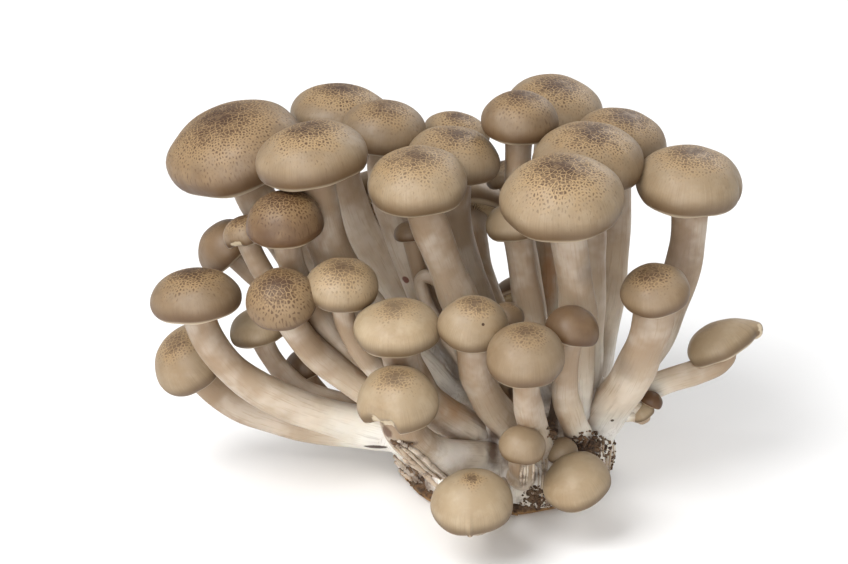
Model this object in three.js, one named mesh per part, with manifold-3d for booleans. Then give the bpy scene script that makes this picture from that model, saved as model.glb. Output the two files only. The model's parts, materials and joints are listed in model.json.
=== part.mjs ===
// A cluster of beech mushrooms (shimeji): nearly fifty brown caps on pale stems that grow
// from one knot of flesh, which stands on a cut foot of sawdust. Millimetres, +Z up, the
// middle of the foot at the origin, and the front of the cluster towards -Y.
import * as THREE from 'three'
import { mergeVertices } from 'three/addons/utils/BufferGeometryUtils.js'
import Module from 'manifold-3d'

const wasm = await Module()
wasm.setup()

// Driving dimensions
const GAP = 0.3 // clearance between neighbouring pieces
const FOOT_RADIUS = 24.6 // the sawdust foot
const FOOT_HEIGHT = 2.6
const FOOT_CHAMFER = 0.8
const KNOT_RADIUS = 25.4 // the knot of flesh that the stems grow from
const KNOT_HEIGHT = 20
const ROOT_HEIGHT = 10 // where the stems leave the knot
const ROOT_SHIFT = 10 // the stems lean to the left, so their roots lie to the right
const ROOT_SPREAD = 0.37 // how far out, for each millimetre that the cap stands out
const ROOT_LIMIT = 20
const LIP_DROP = 0.27 // how far the rolled rim hangs below the widest ring, of the radius
const CEILING = 0.12 // how far the flat middle of the underside lies below that ring
const GILL_DEPTH = 0.09 // height of a gill ridge at the rim, of the radius
const CAP_ROOM = 3 // gaps added to a cap's width, to keep its neighbours clear

// The cluster is laid out as an eye sees it from the front, EYE_DISTANCE away and looking
// down by EYE_TILT: "across" and "up" are read in the plane through the middle of the foot
// that faces the eye, and "back" is the true distance behind the foot's middle.
const EYE_DISTANCE = 565
const EYE_TILT = THREE.MathUtils.degToRad(22)
const AIM_ACROSS = -19.4 // what the eye looks straight at, left of the foot's middle
const AIM_UP = 44.9
const VIEW_RIGHT = new THREE.Vector3(1, 0, 0)
const VIEW_UP = new THREE.Vector3(0, Math.sin(EYE_TILT), Math.cos(EYE_TILT))
const TO_EYE = new THREE.Vector3(0, -Math.cos(EYE_TILT), Math.sin(EYE_TILT))
const EYE = new THREE.Vector3()
  .addScaledVector(VIEW_RIGHT, AIM_ACROSS)
  .addScaledVector(VIEW_UP, AIM_UP)
  .addScaledVector(TO_EYE, EYE_DISTANCE)

// The mushrooms. at: [across, up, back] of the cap's middle; width: across the cap; rise:
// the dome over the widest ring, of the radius; tilt: how far the cap's axis turns to the
// right in the view and how far towards the eye, in degrees; stem: its radius at the cap
// and at the root. Where a row says so, root moves the stem's foot, bow pushes the stem's
// middle aside, steps gives it more rings, and beak draws the rim out on the right.
const MUSHROOMS = [
  // Upper left
  {
    name: 'cap_big_left', at: [-65.6, 78.9, 12], width: 33, rise: 0.55, tilt: [-20, 30],
    stem: [4.3, 4.6],
  },
  {
    name: 'cap_left_back', at: [-39.4, 86.8, 31], width: 23.6, rise: 0.6, tilt: [4, 24],
    stem: [4, 4.4],
  },
  {
    name: 'cap_left_top', at: [-28.8, 83.1, 15], width: 19.4, rise: 0.7, tilt: [6, 30],
    stem: [3.8, 4.4],
  },
  {
    name: 'cap_left_front', at: [-46.6, 76.8, -9], width: 25, rise: 0.6, tilt: [-8, 24],
    stem: [5, 6], bow: [-2.5, 0, 0],
  },
  {
    name: 'cap_dark_left', at: [-53, 61.2, -18], width: 17.6, rise: 0.85, tilt: [-3, 26],
    stem: [3.2, 4.6],
  },
  {
    name: 'cap_broken', at: [-62.8, 57.6, -5], width: 10.6, rise: 0.8, tilt: [-20, 20],
    stem: [2.4, 3],
  },
  {
    name: 'cap_side_left', at: [-68.1, 54.4, 7], width: 15, rise: 0.9, tilt: [-46, 14],
    stem: [2.6, 3.2],
  },
  // Left
  {
    name: 'cap_left_low', at: [-74.4, 42.8, -16], width: 20.4, rise: 0.66, tilt: [-6, 20],
    stem: [3.6, 4.8],
  },
  {
    name: 'cap_left_face', at: [-54, 41.9, -29], width: 15.6, rise: 0.88, tilt: [-12, 52],
    stem: [3.4, 4.4],
  },
  {
    name: 'cap_left_inner', at: [-39, 45.3, -26], width: 16, rise: 0.7, tilt: [4, 36],
    stem: [2.5, 3.6],
  },
  {
    name: 'cap_left_hidden', at: [-59.3, 35, -4], width: 14, rise: 0.7, tilt: [-12, 22],
    stem: [2.6, 3.2],
  },
  {
    name: 'cap_left_bottom', at: [-76.6, 27.5, -3], width: 18.6, rise: 0.8, tilt: [-38, 38],
    stem: [4, 4.8], bow: [0, 0, -3],
  },
  {
    name: 'button_left', at: [-48.6, 25.6, 6], width: 10.4, rise: 0.9, tilt: [-22, 16],
    stem: [2, 2.8],
  },
  { name: 'button_tiny', at: [-37, 26, -7], width: 4.4, rise: 1, tilt: [-8, 12], stem: [1.1, 1.8] },
  // Front
  {
    name: 'cap_front_left', at: [-25.9, 35.2, -34], width: 18.8, rise: 0.62, tilt: [-3, 30],
    stem: [4.2, 5],
  },
  {
    name: 'cap_front_mid', at: [-7.4, 36.1, -36], width: 15.4, rise: 0.85, tilt: [4, 36],
    stem: [3.6, 4.4],
  },
  { name: 'button_mid', at: [0.9, 37.6, -19], width: 7.8, rise: 0.9, tilt: [14, 18], stem: [2, 2.8] },
  {
    name: 'cap_front_right', at: [5, 28.9, -46], width: 17.4, rise: 0.85, tilt: [0, 34],
    stem: [3.1, 4],
  },
  {
    name: 'cap_dark_right', at: [16.7, 35.2, -34], width: 12.2, rise: 0.85, tilt: [14, 22],
    stem: [2.9, 3], root: [19, -17, 11],
  },
  { name: 'cap_torn', at: [-25.9, 18.2, -45], width: 17.8, rise: 0.85, tilt: [-6, 36], stem: [4.2, 5] },
  {
    name: 'button_front', at: [4.3, 6.7, -42], width: 10.2, rise: 0.95, tilt: [4, 38],
    stem: [2.8, 3.2], root: [4, -16, 7],
  },
  {
    name: 'cap_front_low', at: [-7.9, -6.3, -47], width: 17.6, rise: 0.85, tilt: [-4, 36],
    stem: [3, 3.4], root: [0, -15, 10],
  },
  {
    name: 'cap_low_right', at: [16.8, -1.8, -38], width: 15.4, rise: 0.8, tilt: [-20, 36],
    stem: [2.9, 3.4], root: [13, -14, 10],
  },
  {
    name: 'button_low_right', at: [13.7, 5, -30], width: 7.4, rise: 0.95, tilt: [-6, 30],
    stem: [2.2, 2.8], root: [12, -14, 9],
  },
  // Middle
  {
    name: 'cap_mid_front', at: [-21.1, 70.6, -14], width: 22.8, rise: 0.66, tilt: [-5, 30],
    stem: [4, 5.2], bow: [4.5, 0, 0],
  },
  { name: 'cap_mid', at: [-12, 76.4, 6], width: 21.4, rise: 0.6, tilt: [7, 28], stem: [4.2, 5] },
  {
    name: 'cap_mid_back', at: [-11.5, 81.7, 25], width: 15.6, rise: 0.6, tilt: [10, 26],
    stem: [3.4, 4],
  },
  {
    name: 'button_mid_dark', at: [-22.8, 57.4, 6], width: 7.6, rise: 0.8, tilt: [-8, 18],
    stem: [1.9, 2.6],
  },
  {
    name: 'button_arched', at: [-11.3, 40.8, -2], width: 6.4, rise: 0.9, tilt: [150, 8],
    stem: [1.6, 2.2], bow: [-11.2, -2, 4], steps: 10,
  },
  { name: 'cap_top', at: [3.6, 85.5, 8], width: 18.2, rise: 0.75, tilt: [2, 26], stem: [3.2, 4] },
  { name: 'cap_top_back', at: [12.3, 88, 33], width: 24, rise: 0.6, tilt: [8, 32], stem: [4, 4.6] },
  {
    name: 'button_top_back', at: [-0.4, 71.2, 24], width: 9.6, rise: 0.8, tilt: [-22, 20],
    stem: [2.2, 3],
  },
  { name: 'cap_mid_low', at: [2.4, 60.2, -1], width: 14, rise: 0.7, tilt: [-10, 22], stem: [3.2, 4] },
  // Right
  {
    name: 'cap_big_right', at: [13.7, 67.1, -27], width: 26.4, rise: 0.7, tilt: [-4, 34],
    stem: [3.9, 5.2], bow: [3.5, 0, 0],
  },
  {
    name: 'cap_right_mid', at: [20.4, 76.2, -3], width: 25, rise: 0.62, tilt: [5, 30],
    stem: [4.2, 4.8], bow: [3, 0, 0],
  },
  {
    name: 'cap_right_back', at: [28.2, 80.4, 18], width: 22.4, rise: 0.62, tilt: [12, 28],
    stem: [3.4, 4.2], bow: [5, 0, 0],
  },
  {
    name: 'cap_far_right', at: [44.4, 70.7, -4], width: 25, rise: 0.66, tilt: [3, 26],
    stem: [4.2, 4.6], bow: [4, 0, 0],
  },
  {
    name: 'cap_right_low', at: [35.8, 44, -27], width: 15.8, rise: 0.66, tilt: [-14, 34],
    stem: [4.4, 5], bow: [-3, 0, 0],
  },
  {
    name: 'cap_beaked', at: [50.6, 31.2, -6], width: 15.2, rise: 0.7, tilt: [-28, 12],
    stem: [2.6, 3.2], root: [21, -4, 17], bow: [0, 0, 6], beak: 0.2,
  },
  {
    name: 'button_twin', at: [35.4, 17, -11], width: 5.4, rise: 0.9, tilt: [26, 14],
    stem: [1.4, 2], root: [25.5, -14, 24.5],
  },
  // Rear
  {
    name: 'cap_rear_left', at: [-31, 66, 44], width: 23, rise: 0.62, tilt: [-10, -20],
    stem: [4.2, 4.8],
  },
  { name: 'cap_rear_mid', at: [-8, 64, 50], width: 20, rise: 0.66, tilt: [0, -26], stem: [3.8, 4.6] },
  { name: 'cap_rear_right', at: [16, 68, 47], width: 22, rise: 0.62, tilt: [8, -22], stem: [4, 4.6] },
  {
    name: 'cap_rear_low_left', at: [-19, 45, 51], width: 17, rise: 0.8, tilt: [-8, -36],
    stem: [3.4, 4.4],
  },
  { name: 'cap_rear_low', at: [4, 42, 54], width: 15, rise: 0.85, tilt: [4, -38], stem: [3, 4] },
  {
    name: 'cap_rear_low_right', at: [21, 50, 44], width: 17, rise: 0.75, tilt: [12, -30],
    stem: [3.6, 4.4],
  },
  { name: 'cap_rear_side', at: [-38, 44, 34], width: 15, rise: 0.75, tilt: [-24, -18], stem: [3, 4] },
  {
    name: 'button_twin_low', at: [32.7, 14.2, -12.5], width: 5.6, rise: 0.9, tilt: [-32, 24],
    stem: [1.3, 2], root: [25, -14, 22],
  },
]

// Crumbs of sawdust that cling to the knot: [x, y, z, radius].
const CRUMBS = [
  [6, -24.4, 3.2, 2.4],
  [9, -24, 5.6, 2.2],
  [7, -25, 8.2, 1.9],
  [22, -13.6, 3.4, 2.4],
  [22.6, -12.6, 6.4, 2.3],
  [24.4, -9.6, 8.8, 2.4],
  [24, -9.6, 11.6, 2.2],
  [-20, -16.6, 3, 2],
  [-6, 25, 3.2, 2.3],
  [-3, 25.2, 5.8, 2],
]

// The point that shows at (across, up) and lies that far behind the foot's middle.
function place([across, up, back]) {
  const shown = new THREE.Vector3()
    .addScaledVector(VIEW_RIGHT, across)
    .addScaledVector(VIEW_UP, up)
  const share = (back - EYE.y) / (shown.y - EYE.y)
  return shown.sub(EYE).multiplyScalar(share).add(EYE)
}

// A cap's axis, from its turns to the right and towards the eye.
function axisOf({ tilt }) {
  const [sideways, forward] = tilt.map(THREE.MathUtils.degToRad)
  return new THREE.Vector3()
    .addScaledVector(VIEW_RIGHT, Math.sin(sideways) * Math.cos(forward))
    .addScaledVector(VIEW_UP, Math.cos(sideways) * Math.cos(forward))
    .addScaledVector(TO_EYE, Math.sin(forward))
    .normalize()
}

// A closed geometry as a solid that can be joined and cut.
function solidOf(geometry) {
  const bare = geometry.clone()
  bare.deleteAttribute('normal')
  bare.deleteAttribute('uv')
  const merged = mergeVertices(bare, 1e-4)
  return new wasm.Manifold(
    new wasm.Mesh({
      numProp: 3,
      vertProperties: merged.attributes.position.array,
      triVerts: new Uint32Array(merged.index.array),
    }),
  )
}

// A solid's surface as a geometry again.
function geometryOf(solid) {
  const mesh = solid.getMesh()
  const geometry = new THREE.BufferGeometry()
  geometry.setAttribute('position', new THREE.BufferAttribute(mesh.vertProperties, 3))
  geometry.setIndex(new THREE.BufferAttribute(mesh.triVerts, 1))
  const faceted = geometry.toNonIndexed()
  faceted.computeVertexNormals()
  return faceted
}

// The largest body of a solid, without the scraps and sealed hollows that cuts can leave.
function mainBody(solid) {
  const bodies = solid.decompose()
  return bodies.reduce((most, body) => (body.volume() > most.volume() ? body : most))
}

// Moves each vertex of a geometry by a function that changes the vector it is given.
function reshape(geometry, change) {
  const position = geometry.attributes.position
  const vertex = new THREE.Vector3()
  for (let i = 0; i < position.count; i += 1) {
    vertex.fromBufferAttribute(position, i)
    change(vertex, i)
    position.setXYZ(i, vertex.x, vertex.y, vertex.z)
  }
  return geometry
}

// A cap's own frame: +Y is its axis, +Z its side towards the eye, its origin the middle of
// its widest ring.
function capFrame(row) {
  const radius = row.width / 2
  const up = axisOf(row)
  const right = VIEW_RIGHT.clone().addScaledVector(up, -up.dot(VIEW_RIGHT)).normalize()
  const near = right.clone().cross(up)
  const ring = place(row.at).addScaledVector(up, (-(row.rise - LIP_DROP) / 2) * radius)
  return { radius, up, right, near, ring }
}

// A dome with a rolled rim, and gills as radial ridges under it; or filled up to its rim,
// as the room that it takes among its neighbours.
function capGeometry(row, order, filled) {
  const radius = row.width / 2
  const sides = row.width >= 17 ? 18 : row.width >= 11 ? 14 : 10
  const neck = (1.2 * row.stem[0]) / radius
  const profile = [
    [0, filled ? -LIP_DROP : -CEILING],
    [neck, filled ? -LIP_DROP : -CEILING],
    [0.8, filled ? -LIP_DROP : -LIP_DROP * 0.75],
    [0.92, -LIP_DROP],
    [1, 0],
    [0.83, row.rise * 0.5],
    [0.46, row.rise * 0.86],
    [0, row.rise],
  ]
  const cap = new THREE.LatheGeometry(profile.map((p) => new THREE.Vector2(...p)), sides)
  return reshape(cap, (vertex, i) => {
    const ring = i % profile.length
    const groove = filled ? 0 : Math.floor(i / profile.length) % 2
    const around = Math.atan2(vertex.z, vertex.x)
    const wave = 1 + 0.03 * Math.sin(2 * around + order) + 0.012 * Math.sin(5 * around + 2 * order)
    const beak = 1 + (row.beak ?? 0) * Math.max(0, Math.cos(around)) ** 6
    const swell = ring > 1 && ring < 7 ? wave * beak : 1
    if (ring === 1) vertex.y += 0.5 * GILL_DEPTH * groove
    if (ring === 2) vertex.y += GILL_DEPTH * groove
    vertex.set(vertex.x * swell, vertex.y, vertex.z * swell).multiplyScalar(radius)
  })
}

// Where a stem leaves the knot: on the side of the cap that it carries.
function rootOf(row, end) {
  if (row.root) return new THREE.Vector3(...row.root)
  const root = new THREE.Vector3(ROOT_SHIFT + ROOT_SPREAD * end.x, ROOT_SPREAD * end.y, 0)
  return root.clampLength(0, ROOT_LIMIT).setZ(ROOT_HEIGHT)
}

// The stem leans out of the knot and turns up into the cap's axis.
function stemCurve(row) {
  const { radius, up, ring } = capFrame(row)
  const end = ring.clone().addScaledVector(up, -CEILING * radius - GAP)
  const root = rootOf(row, end)
  const reach = root.distanceTo(end)
  const bow = new THREE.Vector3(...(row.bow ?? [0, 0, 0]))
  const leave = end.clone().sub(root).divideScalar(reach).addScaledVector(up, -0.3).normalize()
  return new THREE.CubicBezierCurve3(
    root,
    root.clone().addScaledVector(leave, 0.4 * reach).add(bow),
    end.clone().addScaledVector(up, -0.34 * reach).add(bow),
    end,
  )
}

// A cylinder bent along the curve, thicker towards its root.
function stemGeometry(row, extra) {
  const curve = stemCurve(row)
  const sides = row.width >= 9 ? 8 : 6
  const steps = row.steps ?? (row.width >= 9 ? 5 : 3)
  const frames = []
  let across = new THREE.Vector3(0, 1, 0).cross(curve.getTangent(0))
  for (let step = 0; step <= steps; step += 1) {
    const along = curve.getTangent(step / steps)
    across = across.clone().addScaledVector(along, -across.dot(along)).normalize()
    frames.push({ centre: curve.getPoint(step / steps), across, other: across.clone().cross(along) })
  }
  const stem = new THREE.CylinderGeometry(1, 1, 1, sides, steps)
  return reshape(stem, (vertex) => {
    const { x, z } = vertex
    const share = vertex.y + 0.5
    const { centre, across: first, other } = frames[Math.round(share * steps)]
    const width = extra + THREE.MathUtils.lerp(row.stem[1], row.stem[0], Math.min(1, share * 1.25))
    vertex.copy(centre).addScaledVector(first, x * width).addScaledVector(other, z * width)
  })
}

// The knot of fused flesh, with upright folds round its side.
function knotGeometry() {
  const floor = FOOT_HEIGHT + GAP
  const profile = [
    [0, floor],
    [0.9, floor],
    [1, floor + 5],
    [0.96, floor + 9],
    [0.76, floor + 13],
    [0, KNOT_HEIGHT],
  ]
  const points = profile.map(([out, height]) => new THREE.Vector2(out * KNOT_RADIUS, height))
  return reshape(new THREE.LatheGeometry(points, 28), (vertex) => {
    const around = Math.atan2(vertex.z, vertex.x)
    const fold = 1 + 0.035 * Math.sin(7 * around) + 0.025 * Math.sin(11 * around + 1)
    vertex.set(vertex.x * fold, vertex.y, vertex.z * fold)
  })
}

// The cut foot: flat below, a little wavy round its edge.
function footGeometry() {
  const points = [
    new THREE.Vector2(0, 0),
    new THREE.Vector2(FOOT_RADIUS - FOOT_CHAMFER, 0),
    new THREE.Vector2(FOOT_RADIUS, FOOT_CHAMFER),
    new THREE.Vector2(FOOT_RADIUS - FOOT_CHAMFER, FOOT_HEIGHT),
    new THREE.Vector2(0, FOOT_HEIGHT),
  ]
  return reshape(new THREE.LatheGeometry(points, 28), (vertex) => {
    const around = Math.atan2(vertex.z, vertex.x)
    const edge = 1 + 0.03 * Math.sin(3 * around) + 0.02 * Math.sin(8 * around + 2)
    vertex.set(vertex.x * edge, vertex.y, vertex.z * edge)
  })
}

// One crumb, grown by the clearance where it is to be cut away from the knot.
function crumbGeometry([x, y, z, radius], order, extra) {
  return new THREE.IcosahedronGeometry(radius + extra, 0)
    .rotateX(order)
    .rotateY(2 * order)
    .translate(x, y, z)
}

// Turns what was turned about +Y upright.
function upright(geometry) {
  return geometry.rotateX(Math.PI / 2)
}

// The cap's geometry in the cluster's frame, or the filled room that it needs there.
function placedCap(row, order, filled = false) {
  const { right, up, near, ring } = capFrame(row)
  const turn = new THREE.Matrix4().makeBasis(right, up, near).setPosition(ring)
  const scale = filled ? 1 + (CAP_ROOM * GAP) / row.width : 1
  return capGeometry(row, order, filled).scale(scale, scale, scale).applyMatrix4(turn)
}

// Builds every solid in the cluster's frame.
function buildSolids() {
  const add = (whole, part) => whole.add(part)
  const knot = solidOf(upright(knotGeometry()))
  const crumbs = CRUMBS.map((crumb, i) => solidOf(crumbGeometry(crumb, i, 0)))
  const crumbRoom = CRUMBS.map((crumb, i) => solidOf(crumbGeometry(crumb, i, GAP)))
  const foot = mainBody(crumbs.reduce(add, solidOf(upright(footGeometry()))))
  const stems = MUSHROOMS.map((row) => solidOf(stemGeometry(row, 0)))
  const stemRoom = MUSHROOMS.map((row) => solidOf(stemGeometry(row, GAP)))
  const footRoom = solidOf(upright(footGeometry()).translate(0, 0, GAP))
  const flesh = stems.reduce(add, knot).subtract(crumbRoom.reduce(add, footRoom))
  const knotRoom = solidOf(upright(knotGeometry()).scale(1.02, 1.02, 1.02))
  const caps = []
  const capRoom = []
  MUSHROOMS.forEach((row, i) => {
    const rooms = [knotRoom, ...stemRoom, ...capRoom]
    const cap = rooms.reduce((whole, room) => whole.subtract(room), solidOf(placedCap(row, i)))
    caps.push(mainBody(cap))
    capRoom.push(solidOf(placedCap(row, i, true)))
  })
  return { foot, flesh: mainBody(flesh), caps }
}

const materials = {
  cap: new THREE.MeshStandardMaterial({ color: 0xb49a74, roughness: 0.55, metalness: 0 }),
  stem: new THREE.MeshStandardMaterial({ color: 0xe2d8ca, roughness: 0.6, metalness: 0 }),
  sawdust: new THREE.MeshStandardMaterial({ color: 0x6b5137, roughness: 0.95, metalness: 0 }),
}

// A mesh that carries its own geometry, moved from the cluster's frame to its own place.
function pieceAt(name, solid, material, position) {
  const geometry = geometryOf(solid).translate(-position.x, -position.y, -position.z)
  const mesh = new THREE.Mesh(geometry, material)
  mesh.name = name
  mesh.position.copy(position)
  return mesh
}

const origin = new THREE.Vector3()
const solids = buildSolids()
const cluster = new THREE.Group()
cluster.add(pieceAt('foot', solids.foot, materials.sawdust, origin))
cluster.add(pieceAt('stems', solids.flesh, materials.stem, origin))
MUSHROOMS.forEach((row, i) => {
  cluster.add(pieceAt(row.name, solids.caps[i], materials.cap, capFrame(row).ring))
})

export default cluster
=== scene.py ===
# %% [markdown]
# A bunch of beech mushrooms
#
# The real thing is one living clump: nearly fifty stems grow out of one knot of flesh, and
# each ends in a brown cap with cream gills under it. The knot still stands on the slice of
# sawdust that it was cut from. The lesson builds it the way it grew: first one cap and one
# stem as patterns, then a copy for every mushroom, bent and tinted to its own place.
#
# The frame holds plain solids of every cap, of the stems and of the foot. Nothing is fitted
# by eye afterwards: the same layout, in the same millimetres, places the fine pieces.

# %% Load the frame
import itertools
import json
import math
import random
from collections import namedtuple
from functools import partialmethod

import bpy
import numpy as np
from mathutils import Matrix, Vector, noise
from mathutils.bvhtree import BVHTree

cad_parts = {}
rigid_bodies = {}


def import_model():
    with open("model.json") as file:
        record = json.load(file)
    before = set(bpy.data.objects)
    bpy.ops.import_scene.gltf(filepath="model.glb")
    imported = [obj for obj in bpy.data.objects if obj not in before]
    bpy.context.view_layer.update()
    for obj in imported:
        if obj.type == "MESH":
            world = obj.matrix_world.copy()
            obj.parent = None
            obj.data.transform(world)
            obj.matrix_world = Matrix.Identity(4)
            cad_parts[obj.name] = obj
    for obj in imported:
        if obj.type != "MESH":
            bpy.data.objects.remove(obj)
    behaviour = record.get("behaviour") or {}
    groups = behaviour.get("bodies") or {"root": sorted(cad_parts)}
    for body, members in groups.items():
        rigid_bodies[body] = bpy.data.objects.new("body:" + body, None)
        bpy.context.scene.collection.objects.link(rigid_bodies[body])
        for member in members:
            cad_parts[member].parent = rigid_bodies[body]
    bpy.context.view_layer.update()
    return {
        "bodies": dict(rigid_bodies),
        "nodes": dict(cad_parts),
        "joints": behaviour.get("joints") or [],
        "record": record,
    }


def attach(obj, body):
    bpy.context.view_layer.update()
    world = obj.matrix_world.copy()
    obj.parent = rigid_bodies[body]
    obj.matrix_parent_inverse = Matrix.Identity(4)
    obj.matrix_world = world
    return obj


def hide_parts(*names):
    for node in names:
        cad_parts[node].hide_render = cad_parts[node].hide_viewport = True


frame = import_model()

MM = 0.001
LIP_DROP = 0.27  # how far the rolled rim hangs below the widest ring, of the radius
CEILING = 0.12  # how far the middle of the underside lies below that ring
GAP = 0.3  # clearance that the frame leaves between a stem and its cap

# %% [markdown]
# The layout
#
# Each mushroom is one row. `at` is the middle of its cap as the eye in front sees it: across
# and up in the plane through the foot's middle that faces the eye, and back, the true depth.
# `tilt` turns the cap's axis to the right and towards the eye. A list such as this could be
# replaced by scattering, but a real bunch is no scatter: the caps sort themselves in tiers,
# old ones outside and above, buttons squeezed in between, and a row for each keeps that.
# `skin` says how brown the cap is, how strong its net of spots is and how far from the
# middle the net reaches. `hurts` are the marks of a rough harvest at the rim: a bite, a slit
# or a nub, each with its bearing, half width and depth.

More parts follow.
